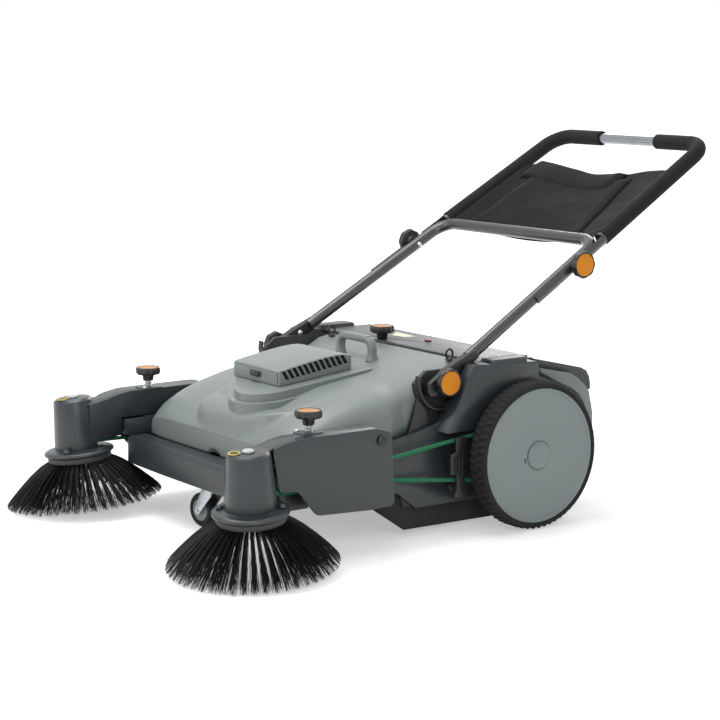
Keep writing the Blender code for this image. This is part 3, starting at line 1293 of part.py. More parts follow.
def make_bin():
    under = lid_line(LID_THICKNESS + GAP)
    rear = BIN_REAR_Y
    outline = [(BIN_FRONT_Y, BIN_LOW_Z), (rear - 0.0125, BIN_LOW_Z), (rear, 0.085), (rear, 0.2455)] + under[::-1][:-1]
    outline += [(BIN_FRONT_Y, under[0][1])]
    body = slab("dust_bin", outline, "X", -WALL_INNER_X, WALL_INNER_X)
    tray = block("bin_tray", (GAP - WALL_INNER_X, BIN_TRAY_FRONT_Y, BIN_LOW_Z), (WALL_INNER_X - GAP, BIN_FRONT_Y + 0.02, CHAMBER_ROOF_Z - 0.0015))
    flange = [(y - 0.0002, z - 0.0008) for y, z in LID_BAND_LINE[::-1][1:]]
    flange = [(BIN_FRONT_Y, 0.3118)] + flange + [(0.1965, 0.2370), (0.2016, 0.2183), (rear - 0.0002, 0.2040),
                                                (rear - 0.0002, 0.0950), (0.196, 0.0850), (0.150, 0.075), (BIN_FRONT_Y, 0.075)]
    sides = []
    for side in (-1, 1):
        ends = sorted((side * (WALL_INNER_X - 0.004), side * BIN_FLANGE_X))
        sides.append(slab("bin_flange", flange, "X", *ends))
    rooms = []
    room = [(0.080, 0.2930), (0.1217, 0.2728), (0.1465, 0.2619), (0.1633, 0.2497), (0.1747, 0.2359), (0.1805, 0.2279), (0.1835, 0.2150),
            (0.1835, 0.100), (0.050, 0.060), (0.050, 0.2930)]
    for side in (-1, 1):
        low = side * (WALL_INNER_X + 0.008)
        rooms.append(pin("bin_arch", (low, 0, WHEEL_RADIUS), (side, 0, 0), BIN_ARCH_RADIUS, 0.0, 0.1, 20))
        rooms.append(slab("bin_side_room", room, "X", *sorted((low, side * 0.4))))
    body = join(body, tray, *sides)
    inner = WALL_INNER_X - BIN_WALL - 0.002
    hollow_outline = [(0.0, BIN_LOW_Z + BIN_WALL), (rear - 0.0135, BIN_LOW_Z + BIN_WALL), (rear - BIN_WALL, 0.088), (rear - BIN_WALL, 0.2440)]
    hollow_outline += lid_line(LID_THICKNESS + BIN_WALL)[1:-1][::-1]
    hollow_outline += [(BIN_FRONT_Y + BIN_WALL, under[0][1] - BIN_WALL), (BIN_FRONT_Y + BIN_WALL, CHAMBER_ROOF_Z - 0.0015 - BIN_WALL),
                       (0.0, CHAMBER_ROOF_Z - 0.0015 - BIN_WALL)]
    hollow = slab("bin_hollow", hollow_outline, "X", -inner, inner)
    body = cut(body, hollow, *rooms)
    finish(body, GREY_GREEN)


def make_lid():
    outline = lid_line(0.0) + lid_line(LID_THICKNESS)[::-1]
    lid = slab("bin_lid", outline, "X", -LID_HALF_WIDTH, LID_HALF_WIDTH)
    band = list(LID_BAND_LINE) + lid_line(0.0012)[:-1]
    bands = []
    for side in (-1, 1):
        ends = sorted((side * (LID_HALF_WIDTH - LID_BAND), side * (LID_HALF_WIDTH - 0.0004)))
        bands.append(slab("lid_band", band, "X", *ends))
    lid = join(lid, *bands)
    finish(lid, SLATE)


def rest_on_origin():
    """Shifts the machine along Y so that the origin is under the middle of its box."""
    bpy.context.view_layer.update()
    ends = []
    for obj in PARTS.objects:
        if obj.type != "MESH":
            continue
        ends += [(obj.matrix_world @ vert.co).y for vert in obj.data.vertices]
    FRAME_EMPTY.location.y = -(min(ends) + max(ends)) / 2
    print(f"Machine shifted along Y by {FRAME_EMPTY.location.y:.5f} m")


def main():
    make_tyre()
    make_wheel_disc()
    make_hub_cap()
    make_axle()
    make_chassis_frame()
    make_bumper()
    make_side_panel()
    make_handle_cup()
    make_deck()
    make_skirt()
    make_hood()
    make_filter()
    make_vent()
    make_vent_latch()
    make_carry_handle()
    make_pull_loop()
    make_deck_knob()
    make_arm()
    make_arm_plate()
    make_height_knob()
    make_stem_spring()
    make_guard_disc()
    make_spindle()
    make_bristles()
    make_drive_belt()
    make_roller_belt()
    make_belt_guide()
    make_roller()
    make_roller_bristles()
    make_caster()
    make_handle_frame()
    make_lower_knob()
    make_upper_handle()
    make_upper_knob()
    make_foam_grip()
    make_bag()
    make_bin()
    make_lid()
    rest_on_origin()


main()
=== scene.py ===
"""Looks of the floor sweeper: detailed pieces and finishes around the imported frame.

Places are written with the wheel axle at y = 0 and moved by AXLE_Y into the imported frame.
"""

import json
import math
import random

import bmesh
import bpy
from mathutils import Matrix, Vector, noise

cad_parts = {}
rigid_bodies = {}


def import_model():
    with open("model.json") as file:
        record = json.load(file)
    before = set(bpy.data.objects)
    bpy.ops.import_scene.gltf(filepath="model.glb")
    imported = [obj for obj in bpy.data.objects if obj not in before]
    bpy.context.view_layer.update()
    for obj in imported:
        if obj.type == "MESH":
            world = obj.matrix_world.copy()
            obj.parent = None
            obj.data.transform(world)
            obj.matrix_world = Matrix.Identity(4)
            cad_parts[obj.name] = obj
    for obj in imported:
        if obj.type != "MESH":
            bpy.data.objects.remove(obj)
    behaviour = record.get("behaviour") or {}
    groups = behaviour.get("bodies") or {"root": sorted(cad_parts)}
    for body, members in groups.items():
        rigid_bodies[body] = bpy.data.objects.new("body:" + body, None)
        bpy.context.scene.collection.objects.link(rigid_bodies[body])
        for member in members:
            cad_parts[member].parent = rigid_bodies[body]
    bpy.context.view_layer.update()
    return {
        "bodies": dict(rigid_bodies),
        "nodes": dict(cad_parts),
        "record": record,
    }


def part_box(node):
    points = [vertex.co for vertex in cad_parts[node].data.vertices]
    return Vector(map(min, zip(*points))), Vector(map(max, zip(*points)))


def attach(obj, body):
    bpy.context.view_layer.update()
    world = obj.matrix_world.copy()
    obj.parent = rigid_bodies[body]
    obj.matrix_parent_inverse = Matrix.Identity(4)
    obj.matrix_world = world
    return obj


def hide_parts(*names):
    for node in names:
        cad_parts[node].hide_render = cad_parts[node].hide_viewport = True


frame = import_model()
AXLE_Y = sum(corner.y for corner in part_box("wheel_axle")) / 2
SHIFT = Matrix.Translation((0, AXLE_Y, 0))
MIRROR = Matrix.Diagonal((-1, 1, 1, 1))
SLOTS = {entry["node"]: entry["material_slot"] for entry in frame["record"]["subparts"]}


def linked(name, data):
    made = bpy.data.objects.new(name, data)
    bpy.context.scene.collection.objects.link(made)
    return made


# Camera at the photograph's view

EYE, LENS, AZIMUTH, ELEVATION = (3.3062, -2.5424, 0.9703), 98.67, 54.3194, 9.2241


def make_camera():
    lens = bpy.data.cameras.new("photo_view")
    lens.sensor_width, lens.lens = 36.0, LENS
    lens.clip_start, lens.clip_end = 0.1, 60.0
    eye = linked("photo_view", lens)
    eye.location = (EYE[0], EYE[1] + AXLE_Y, EYE[2])
    eye.rotation_euler = (math.radians(90 - ELEVATION), 0.0, math.radians(AZIMUTH))
    bpy.context.scene.camera = eye


make_camera()


# Shader groups, each built once

def put(tree, value, socket):
    """Links the value to a socket, or sets it there."""
    if isinstance(value, bpy.types.NodeSocket):
        tree.links.new(value, socket)
    else:
        socket.default_value = value


def add(tree, kind, inputs=(), **settings):
    """A node with its settings, and its inputs linked or set by name or number."""
    node = tree.nodes.new("ShaderNode" + kind)
    for key, value in settings.items():
        setattr(node, key, value)
    for key, value in dict(inputs).items():
        put(tree, value, node.inputs[key])
    return node


def math_of(tree, operation, first, second):
    return add(tree, "Math", {0: first, 1: second}, operation=operation).outputs[0]


def plus(tree, first, second):
    return math_of(tree, "ADD", first, second)


def times(tree, first, second):
    return math_of(tree, "MULTIPLY", first, second)


def mixed(tree, factor, first, second):
    return add(tree, "Mix", {0: factor, 6: first, 7: second}, data_type="RGBA").outputs[2]


def ranged(tree, value, low, high, to_low, to_high):
    return add(tree, "MapRange", {0: value, 1: low, 2: high, 3: to_low, 4: to_high}).outputs[0]


def noise_of(tree, where, scale, detail, roughness=0.5):
    inputs = {"Vector": where, "Scale": scale, "Detail": detail, "Roughness": roughness}
    return add(tree, "TexNoise", inputs).outputs["Fac"]


def object_place(tree):
    return add(tree, "TexCoord").outputs["Object"]


def new_group(name, **inputs):
    """A finish's group with these inputs, and with its three outputs."""
    group = bpy.data.node_groups.new(name, "ShaderNodeTree")
    for label, value in inputs.items():
        kind = "Float" if isinstance(value, float) else "Color" if len(value) == 4 else "Vector"
        label = label.replace("_", " ")
        group.interface.new_socket(label, in_out="INPUT", socket_type="NodeSocket" + kind).default_value = value
    for label, kind in (("Colour", "Color"), ("Roughness", "Float"), ("Normal", "Vector")):
        group.interface.new_socket(label, in_out="OUTPUT", socket_type="NodeSocket" + kind)
    return group, group.nodes.new("NodeGroupInput").outputs


def give_out(group, colour, roughness, height, strength, distance):
    """Ends a group with its colour, its roughness and a bump from the height."""
    made = group.nodes.new("NodeGroupOutput")
    bump = add(group, "Bump", {"Strength": strength, "Distance": distance, "Height": height})
    for label, value in (("Colour", colour), ("Roughness", roughness), ("Normal", bump.outputs[0])):
        put(group, value, made.inputs[label])
    return group


def build_skin_group():
    """Moulded surface: cloudy colour, fine grain and a worn line on marked edges."""
    group, given = new_group("moulded_skin", Colour=(0.5, 0.5, 0.5, 1), Worn_colour=(0.6, 0.6, 0.6, 1), Mottle=0.06,
                             Roughness=0.45, Grain_size=900.0, Grain_depth=0.15)
    where = object_place(group)
    cloud = noise_of(group, where, 7.0, 5.0, 0.6)
    speck = noise_of(group, where, 260.0, 3.0)
    shade = plus(group, times(group, cloud, 1.4), times(group, speck, 0.6))
    value = plus(group, times(group, plus(group, shade, -1.0), given["Mottle"]), 1.0)
    tinted = add(group, "HueSaturation", {"Value": value, "Color": given["Colour"]}).outputs[0]
    mark = add(group, "Attribute", attribute_name="edge").outputs["Fac"]
    scuff = ranged(group, noise_of(group, where, 45.0, 6.0, 0.7), 0.46, 0.62, 0.0, 1.0)
    colour = mixed(group, times(group, mark, scuff), tinted, given["Worn colour"])
    rough = plus(group, given["Roughness"], times(group, plus(group, cloud, -0.5), 0.22))
    grain = noise_of(group, where, given["Grain size"], 2.0)
    return give_out(group, colour, rough, grain, given["Grain depth"], 0.0004)


def build_weave_group():
    """Plain weave on the piece's own UV map: two sets of threads with slubs."""
    group, given = new_group("plain_weave", Colour=(0.02, 0.02, 0.022, 1), Light_thread=(0.05, 0.05, 0.053, 1),
                             Threads=900.0)
    place = add(group, "UVMap", uv_map="cloth").outputs[0]
    split = add(group, "SeparateXYZ", {0: place})
    waves = [math_of(group, "SINE", times(group, split.outputs[axis], given["Threads"]), 0.0) for axis in (0, 1)]
    slub = noise_of(group, place, 60.0, 4.0)
    lint = noise_of(group, place, 9.0, 5.0, 0.65)
    height = plus(group, times(group, times(group, *waves), 0.5), slub)
    light = times(group, ranged(group, height, 0.2, 1.1, 0.0, 0.55), ranged(group, lint, 0.35, 0.7, 0.35, 1.0))
    colour = mixed(group, light, given["Colour"], given["Light thread"])
    return give_out(group, colour, ranged(group, lint, 0.3, 0.7, 0.82, 0.98), height, 0.35, 0.0006)


def build_pore_group():
    """Closed-cell foam or rubber: small pores and a dusty bloom."""
    group, given = new_group("pores", Colour=(0.04, 0.04, 0.041, 1), Bloom=(0.09, 0.09, 0.09, 1), Size=700.0, Depth=0.3)
    where = object_place(group)
    cells = add(group, "TexVoronoi", {"Vector": where, "Scale": given["Size"]}).outputs["Distance"]
    cloud = noise_of(group, where, 28.0, 6.0, 0.62)
    colour = mixed(group, ranged(group, cloud, 0.42, 0.72, 0.0, 0.6), given["Colour"], given["Bloom"])
    return give_out(group, colour, ranged(group, cloud, 0.3, 0.7, 0.72, 0.92), cells, given["Depth"], 0.0005)


def build_metal_group():
    """Drawn or rolled metal: fine lines along one axis and soft smudges."""
    group, given = new_group("drawn_metal", Colour=(0.5, 0.5, 0.5, 1), Smudge=(0.4, 0.4, 0.4, 1), Roughness=0.3,
                             Stretch=(900.0, 20.0, 900.0))
    where = object_place(group)
    stretched = add(group, "VectorMath", {0: where, 1: given["Stretch"]}, operation="MULTIPLY").outputs[0]
    lines = noise_of(group, stretched, 1.0, 3.0)
    cloud = noise_of(group, where, 18.0, 6.0, 0.6)
    colour = mixed(group, ranged(group, cloud, 0.4, 0.7, 0.0, 0.7), given["Colour"], given["Smudge"])
    uneven = times(group, plus(group, plus(group, lines, cloud), -1.0), 0.25)
    return give_out(group, colour, plus(group, given["Roughness"], uneven), lines, 0.08, 0.0003)


SKIN, WEAVE, PORES, METAL = build_skin_group(), build_weave_group(), build_pore_group(), build_metal_group()


# Materials

def shader_of(name):
    """A new material, its node tree and its shader."""
    made = bpy.data.materials.new(name)
    made.use_nodes = True
    return made, made.node_tree, made.node_tree.nodes["Principled BSDF"]


def new_material(name, group, values, **plain):
    """A material whose colour, roughness and normal come from a group. Plain values go on the shader's own sockets."""
    made, tree, shader = shader_of(name)
    source = tree.nodes.new("ShaderNodeGroup")
    source.node_tree = group
    for key, value in values.items():
        source.inputs[key].default_value = (*value, 1) if isinstance(value, tuple) and key != "Stretch" else value
    for label, socket in (("Colour", "Base Color"), ("Roughness", "Roughness"), ("Normal", "Normal")):
        tree.links.new(source.outputs[label], shader.inputs[socket])
    for key, value in plain.items():
        shader.inputs[key.replace("_", " ")].default_value = value
    return made


def moulded(name, colour, roughness, mottle=0.07, grain=900.0, depth=0.12, worn=1.6, **plain):
    lighter = tuple(min(1.0, part * worn + 0.01) for part in colour)
    return new_material(name, SKIN, {"Colour": colour, "Worn colour": lighter, "Roughness": roughness,
                                     "Mottle": mottle, "Grain size": grain, "Grain depth": depth}, **plain)


def pored(name, colour, bloom, size, depth, **plain):
    return new_material(name, PORES, {"Colour": colour, "Bloom": bloom, "Size": size, "Depth": depth}, **plain)


def metal(name, colour, smudge, roughness, metallic, stretch=(900.0, 20.0, 900.0), **plain):
    values = {"Colour": colour, "Smudge": smudge, "Roughness": roughness, "Stretch": stretch}
    return new_material(name, METAL, values, Metallic=metallic, **plain)


GREY_GREEN = moulded("grey_green_shell", (0.205, 0.238, 0.232), 0.40, 0.05, 1100.0, 0.06, 1.25,
                     Coat_Weight=0.10, Coat_Roughness=0.35)
SLATE = moulded("slate_moulding", (0.026, 0.032, 0.036), 0.36, 0.08, 1300.0, 0.08, 2.2,
                Coat_Weight=0.12, Coat_Roughness=0.3)
BLACK = moulded("black_moulding", (0.013, 0.013, 0.014), 0.42, 0.10, 1300.0, 0.12, 2.4)
DEEP_BLACK = moulded("inner_black", (0.008, 0.009, 0.010), 0.6, 0.10, 900.0, 0.12, 1.5)
WHEEL_GREY = moulded("wheel_grey", (0.225, 0.265, 0.265), 0.46, 0.06, 700.0, 0.08, 1.3)
ORANGE = moulded("orange_face", (0.80, 0.275, 0.008), 0.42, 0.04, 1200.0, 0.05, 1.1, Specular_IOR_Level=0.3)
COPPER = moulded("copper_face", (0.56, 0.27, 0.085), 0.40, 0.05, 1200.0, 0.05, 1.1, Specular_IOR_Level=0.4)
PLATE_BLUE = moulded("painted_plate", (0.085, 0.105, 0.118), 0.34, 0.06, 900.0, 0.06, 1.5)
PALE_CAP = moulded("pale_cap", (0.52, 0.57, 0.57), 0.28, 0.05, 900.0, 0.05, 1.2)
LABEL = moulded("blank_label", (0.80, 0.78, 0.60), 0.5, 0.03, 700.0, 0.05, 1.05)
STICKER = moulded("yellow_ring", (0.62, 0.46, 0.08), 0.45, 0.06, 700.0, 0.05, 1.1)
RED = moulded("red_tab", (0.20, 0.010, 0.016), 0.4, 0.06, 900.0, 0.08, 1.4)
PAPER = moulded("filter_paper", (0.62, 0.60, 0.53), 0.9, 0.08, 500.0, 0.5, 1.1)
RUBBER = pored("tyre_rubber", (0.010, 0.010, 0.011), (0.026, 0.026, 0.027), 500.0, 0.18, Specular_IOR_Level=0.35)
SKIRT = pored("skirt_rubber", (0.015, 0.015, 0.016), (0.030, 0.030, 0.031), 350.0, 0.12)
FOAM = pored("grip_foam", (0.011, 0.011, 0.0115), (0.026, 0.026, 0.027), 650.0, 0.45, Specular_IOR_Level=0.25)
GREEN = pored("green_belt", (0.010, 0.150, 0.062), (0.016, 0.215, 0.095), 420.0, 0.10)
STEEL = metal("bright_steel", (0.62, 0.63, 0.64), (0.48, 0.49, 0.50), 0.24, 1.0)
ZINC = metal("zinc_plate", (0.50, 0.53, 0.55), (0.38, 0.42, 0.44), 0.36, 0.85, (120.0, 120.0, 120.0))
TUBE = metal("gunmetal_tube", (0.066, 0.069, 0.073), (0.050, 0.053, 0.057), 0.30, 0.55, (700.0, 14.0, 700.0),
             Coat_Weight=0.35, Coat_Roughness=0.22)
BARE_TUBE = metal("polished_tube", (0.30, 0.31, 0.33), (0.22, 0.23, 0.25), 0.20, 0.9, (14.0, 700.0, 700.0))
CLOTH = new_material("black_cloth", WEAVE, {"Colour": (0.006, 0.006, 0.0065), "Light thread": (0.022, 0.022, 0.023)},
                     Sheen_Weight=0.06, Sheen_Roughness=0.5, Specular_IOR_Level=0.22)


def build_bristle_material():
    """Strands differ by an attribute, and carry a little dust."""
    made, tree, shader = shader_of("black_bristle")
    own = add(tree, "Attribute", attribute_name="strand").outputs["Fac"]
    base = mixed(tree, own, (0.003, 0.003, 0.003, 1), (0.013, 0.0125, 0.012, 1))
    dust = ranged(tree, noise_of(tree, object_place(tree), 60.0, 5.0), 0.5, 0.75, 0.0, 0.5)
    tree.links.new(mixed(tree, dust, base, (0.026, 0.025, 0.023, 1)), shader.inputs["Base Color"])
    tree.links.new(ranged(tree, own, 0.0, 1.0, 0.38, 0.62), shader.inputs["Roughness"])
    shader.inputs["Specular IOR Level"].default_value = 0.3
    return made


BRISTLE = build_bristle_material()


# Shape tools

MERGE = 1e-6


def settle(name, mesh, body, look, stands_for=(), smooth=38, slot=None):
    """Turns a finished mesh into a piece that rides on its body."""
    mesh.transform(SHIFT)
    made = linked(name, mesh)
    mesh.materials.clear()
    mesh.materials.append(look)
    mesh.shade_smooth()
    mesh.set_sharp_from_angle(angle=math.radians(smooth))
    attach(made, body)
    if stands_for:
        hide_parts(*stands_for)
        slot = slot or SLOTS[stands_for[0]]
    return made


def baked(name, shape):
    """The shape as a mesh. The shape itself is let go."""
    mesh = bpy.data.meshes.new(name)
    shape.to_mesh(mesh)
    shape.free()
    return mesh


def mesh_of(name, shape):
    bmesh.ops.remove_doubles(shape, verts=shape.verts, dist=MERGE)
    bmesh.ops.recalc_face_normals(shape, faces=shape.faces)
    return baked(name, shape)


def piece(name, shape, body, look, stands_for=(), **more):
    return settle(name, mesh_of(name, shape), body, look, stands_for, **more)


def sided(name, side):
    return name + ("_left" if side > 0 else "_right")


def both_of(name, mesh, body, look, stands_for=(), **more):
    """A left piece and its mirror image. Body and node names get their side's ending."""
    for side in (1, -1):
        own = mesh.copy()
        if side < 0:
            own.transform(MIRROR)
            own.flip_normals()
        nodes = [sided(node, side) for node in stands_for]
        own_body = body if body == "chassis" or body in frame["bodies"] else sided(body, side)
        settle(sided(name, side), own, own_body, look, nodes, **more)
    bpy.data.meshes.remove(mesh)


def both(name, shape, *given, **more):
    both_of(name, mesh_of(name, shape), *given, **more)


def merged(*shapes):
    """Several shapes as one."""
    whole = shapes[0]
    for other in shapes[1:]:
        mesh = baked("part", other)
        whole.from_mesh(mesh)
        bpy.data.meshes.remove(mesh)
    return whole


def round_edges(shape, width, segments=2, angle=30):
    """Bevels the sharp edges and marks the new faces, so that a finish can wear them."""
    if "edge" not in shape.faces.layers.float:
        shape.faces.layers.float.new("edge")
    shape.normal_update()
    edges = [edge for edge in shape.edges
             if len(edge.link_faces) == 2 and edge.calc_face_angle(0) > math.radians(angle)]
    made = bmesh.ops.bevel(shape, geom=edges, offset=width, segments=segments, profile=0.5, affect="EDGES",
                           material=-1, clamp_overlap=True)
    mark = shape.faces.layers.float["edge"]
    for face in made["faces"]:
        face[mark] = 1.0
    return shape


def plate(outline, axis, low, high, rim=0.0, segments=2):
    """A flat outline with thickness along an axis. Its points are (y, z), (x, z) or (x, y)."""
    order = {"X": (2, 0, 1), "Y": (0, 2, 1), "Z": (0, 1, 2)}[axis]
    shape = bmesh.new()
    verts = []
    for point in outline:
        given = (point[0], point[1], low)
        verts.append(shape.verts.new([given[index] for index in order]))
    grown = bmesh.ops.extrude_face_region(shape, geom=[shape.faces.new(verts)])
    move = [(0.0, 0.0, high - low)[index] for index in order]
    bmesh.ops.translate(shape, vec=move, verts=[part for part in grown["geom"] if isinstance(part, bmesh.types.BMVert)])
    bmesh.ops.recalc_face_normals(shape, faces=shape.faces)
    if rim:
        round_edges(shape, rim, segments)
    return shape


def brick(low, high, rim=0.0, segments=2):
    shape = bmesh.new()
    bmesh.ops.create_cube(shape, size=1.0)
    low, high = Vector(low), Vector(high)
    bmesh.ops.scale(shape, vec=high - low, verts=shape.verts)
    bmesh.ops.translate(shape, vec=(low + high) / 2, verts=shape.verts)
    if rim:
        round_edges(shape, rim, segments)
    return shape


def turned(profile, matrix=Matrix.Identity(4), steps=64, ring=False):
    """A turned shape from (radius, height) points, about Z and then placed."""
    shape = bmesh.new()
    verts = [shape.verts.new((radius, 0.0, height)) for radius, height in profile]
    edges = [shape.edges.new(pair) for pair in zip(verts, verts[1:])]
    if ring:
        edges.append(shape.edges.new((verts[-1], verts[0])))
    bmesh.ops.spin(shape, geom=verts + edges, cent=(0, 0, 0), axis=(0, 0, 1), angle=2 * math.pi, steps=steps,
                   use_merge=True)
    bmesh.ops.remove_doubles(shape, verts=shape.verts, dist=MERGE)
    bmesh.ops.recalc_face_normals(shape, faces=shape.faces)
    shape.transform(matrix)
    return shape


def softened(profile, radius, steps=3, ring=False):
    """The profile with each corner turned into a small arc."""
    count = len(profile)
    found = []
    for index, point in enumerate(profile):
        if not ring and index in (0, count - 1):
            found.append(point)
            continue
        here, before, after = Vector(point), Vector(profile[index - 1]), Vector(profile[(index + 1) % count])
        back, ahead = before - here, after - here
        reach = min(radius, back.length * 0.45, ahead.length * 0.45)
        start, end = here + back.normalized() * reach, here + ahead.normalized() * reach
        for step in range(steps + 1):
            share = step / steps
            found.append(tuple(start * (1 - share) ** 2 + here * 2 * share * (1 - share) + end * share ** 2))
    return found


def evaluated(holder):
    """The shape that an object's curve or modifiers make. The object is let go."""
    bpy.context.view_layer.update()
    mesh = bpy.data.meshes.new_from_object(holder.evaluated_get(bpy.context.evaluated_depsgraph_get()))
    shape = bmesh.new()
    shape.from_mesh(mesh)
    bpy.data.objects.remove(holder, do_unlink=True)
    bpy.data.meshes.remove(mesh)
    return shape


def pipe(points, radius, sides=12, closed=False):
    """A round tube along a route, from a bevelled curve."""
    curve = bpy.data.curves.new("route", "CURVE")
    curve.dimensions = "3D"
    curve.bevel_depth = radius
    curve.bevel_resolution = max(0, sides // 4)
    curve.use_fill_caps = not closed
    spline = curve.splines.new("POLY")
    spline.points.add(len(points) - 1)
    spline.use_cyclic_u = closed
    for point, place in zip(spline.points, points):
        point.co = (*place, 1.0)
    shape = evaluated(linked("route", curve))
    bpy.data.curves.remove(curve)
    return shape


def rod(centre, direction, radius, low, high, steps=24, rim=0.0008):
    profile = [(0, high), (radius, high), (radius, low), (0, low)]
    if rim:
        profile = softened(profile, rim, 2)
    return turned(profile, towards(direction, centre), steps)


def towards(direction, centre):
    turn = Vector((0, 0, 1)).rotation_difference(Vector(direction)).to_matrix().to_4x4()
    return Matrix.Translation(centre) @ turn


def arc(centre, radius, start, end, steps):
    turns = [math.radians(start + (end - start) * step / steps) for step in range(steps + 1)]
    return [(centre[0] + radius * math.cos(turn), centre[1] + radius * math.sin(turn)) for turn in turns]


def on_line(points, y):
    for (first_y, first), (second_y, second) in zip(points, points[1:]):
        if y <= second_y:
            share = (y - first_y) / (second_y - first_y)
            return first + (second - first) * min(max(share, 0.0), 1.0)
    return points[-1][1]


def eased(value):
    value = min(max(value, 0.0), 1.0)
    return value * value * (3 - 2 * value)


def carved(shape, *cutters):
    """The shape less each cutter."""
    parts = []
    for part in (shape, *cutters):
        bmesh.ops.recalc_face_normals(part, faces=part.faces)
        parts.append(linked("cutting", baked("cutting", part)))
    for tool in parts[1:]:
        step = parts[0].modifiers.new("carve", "BOOLEAN")
        step.operation = "DIFFERENCE"
        step.solver = "EXACT"
        step.object = tool
    made = evaluated(parts[0])
    for tool in parts[1:]:
        bpy.data.objects.remove(tool, do_unlink=True)
    bmesh.ops.remove_doubles(made, verts=made.verts, dist=MERGE)
    return made


def cleaned(node, rim=0.0012, segments=2, angle=28):
    """A copy of a CAD solid in the axle frame, joined up, with rounded edges."""
    shape = bmesh.new()
    shape.from_mesh(frame["nodes"][node].data)
    shape.transform(SHIFT.inverted())
    bmesh.ops.remove_doubles(shape, verts=shape.verts, dist=2e-5)
    bmesh.ops.dissolve_limit(shape, angle_limit=math.radians(2), verts=shape.verts, edges=shape.edges)
    return round_edges(shape, rim, segments, angle)


def copied(name, node, body, look, rim=0.0012):
    piece(name, cleaned(node, rim), body, look, (node,))


def button(profile, centre, direction=(0, 0, 1), steps=24, rim=0.0, fine=2):
    """A small turned shape, such as a cap or a bolt's head, on its spot."""
    return turned(softened(profile, rim, fine) if rim else profile, towards(direction, centre), steps)


def thickened(made, label, thickness, offset=-1.0):
    """Gives an open sheet its wall."""
    wall = made.modifiers.new(label, "SOLIDIFY")
    wall.thickness = thickness
    wall.offset = offset


# Running gear

WHEEL_RADIUS, WHEEL_X, TYRE_HALF = 0.150, 0.361, 0.0225


def wheel_place():
    return towards((1, 0, 0), (WHEEL_X, 0, WHEEL_RADIUS))


def with_mirrored(profile):
    """A profile down to its middle plane, and the same below it."""
    return profile + [(radius, -height) for radius, height in profile[::-1]]


def make_tyres():
    """Ribbed sidewalls and a lugged tread, whose two rows stand half a lug apart."""
    seat, lugs, per_lug = 0.1366, 64, 6
    half = TYRE_HALF
    side_wall = [(seat, half - 0.0012), (seat + 0.002, half - 0.0004), (seat + 0.0028, half - 0.0012),
                 (seat + 0.0055, half - 0.0004), (seat + 0.0085, half - 0.0008), (WHEEL_RADIUS - 0.0022, half - 0.0034)]
    tread = [(WHEEL_RADIUS, height) for height in (half - 0.0062, 0.0088, 0.0016)]
    shape = turned(with_mirrored(side_wall + tread), steps=lugs * per_lug, ring=True)
    for vert in shape.verts:
        radius = math.hypot(vert.co.x, vert.co.y)
        if radius < WHEEL_RADIUS - 0.003:
            continue
        turn = math.atan2(vert.co.y, vert.co.x) / (2 * math.pi) * lugs
        if abs(vert.co.z) < 0.001:
            drop = 0.0022
        else:
            share = (turn + (0.5 if vert.co.z < 0 else 0.0) + abs(vert.co.z) * 14) % 1.0
            drop = 0.0034 * eased((abs(share - 0.5) - 0.17) / 0.08)
        factor = 1 - drop / radius
        vert.co.x *= factor
        vert.co.y *= factor
    shape.transform(wheel_place())
    both("block_tyre", shape, "wheel", RUBBER, ("tyre",), smooth=34)


WHEEL_GROOVES = (0.318, 0.0551), (0.302, 0.0401)
(BROOM_BELT_X, BROOM_BELT_GROOVE), (ROLLER_BELT_X, ROLLER_BELT_GROOVE) = WHEEL_GROOVES


def pulley_profile():
    points = []
    for belt_x, groove in WHEEL_GROOVES:
        middle = belt_x - WHEEL_X
        points += [(groove + out, middle + along) for out, along in (
            (0.007, 0.0070), (0.0062, 0.0066), (0, 0.0023), (0, -0.0023), (0.0062, -0.0066), (0.007, -0.0070))]
    return points


def make_wheel_discs():
    """Pressed face with a rolled lip, a raised ring round the cap and a small slot beside it."""
    half = TYRE_HALF
    web = half - 0.006
    face = [(0.0085, web - 0.0012), (0.0300, web - 0.0012), (0.0306, web + 0.0002), (0.0345, web + 0.0004),
            (0.0372, web - 0.0004), (0.060, web - 0.0003), (0.1262, web), (0.1290, web + 0.0014),
            (0.1302, half - 0.0030), (0.1322, half - 0.0012), (0.1350, half - 0.0010), (0.1361, half - 0.0022)]
    rear = [(0.1361, 0.002 - half), (0.1303, 0.002 - half), (0.1262, web - 0.0045), (0.045, web - 0.0045),
            (0.0405, web - 0.006), (0.040, -0.0352)]
    profile = face + rear + pulley_profile() + [(0.0085, pulley_profile()[-1][1])]
    shape = turned(profile, steps=128, ring=True)
    slot = brick((-0.0372, -0.0052, web - 0.01), (-0.0342, 0.0052, web + 0.01), 0.0006, 1)
    slot.transform(Matrix.Rotation(math.radians(102), 4, "Z"))
    shape = carved(shape, slot)
    shape.transform(wheel_place())
    both("pressed_disc", shape, "wheel", WHEEL_GREY, ("wheel_disc",), smooth=30)


def make_hub_caps():
    seat = TYRE_HALF - 0.006 + 0.0003
    profile = [(0, seat + 0.0072), (0.010, seat + 0.0070), (0.020, seat + 0.0060), (0.0262, seat + 0.0042),
               (0.0282, seat + 0.0024), (0.0288, seat), (0, seat)]
    both("domed_cap", turned(profile, wheel_place(), 72), "wheel", WHEEL_GREY, ("hub_cap",), smooth=50)


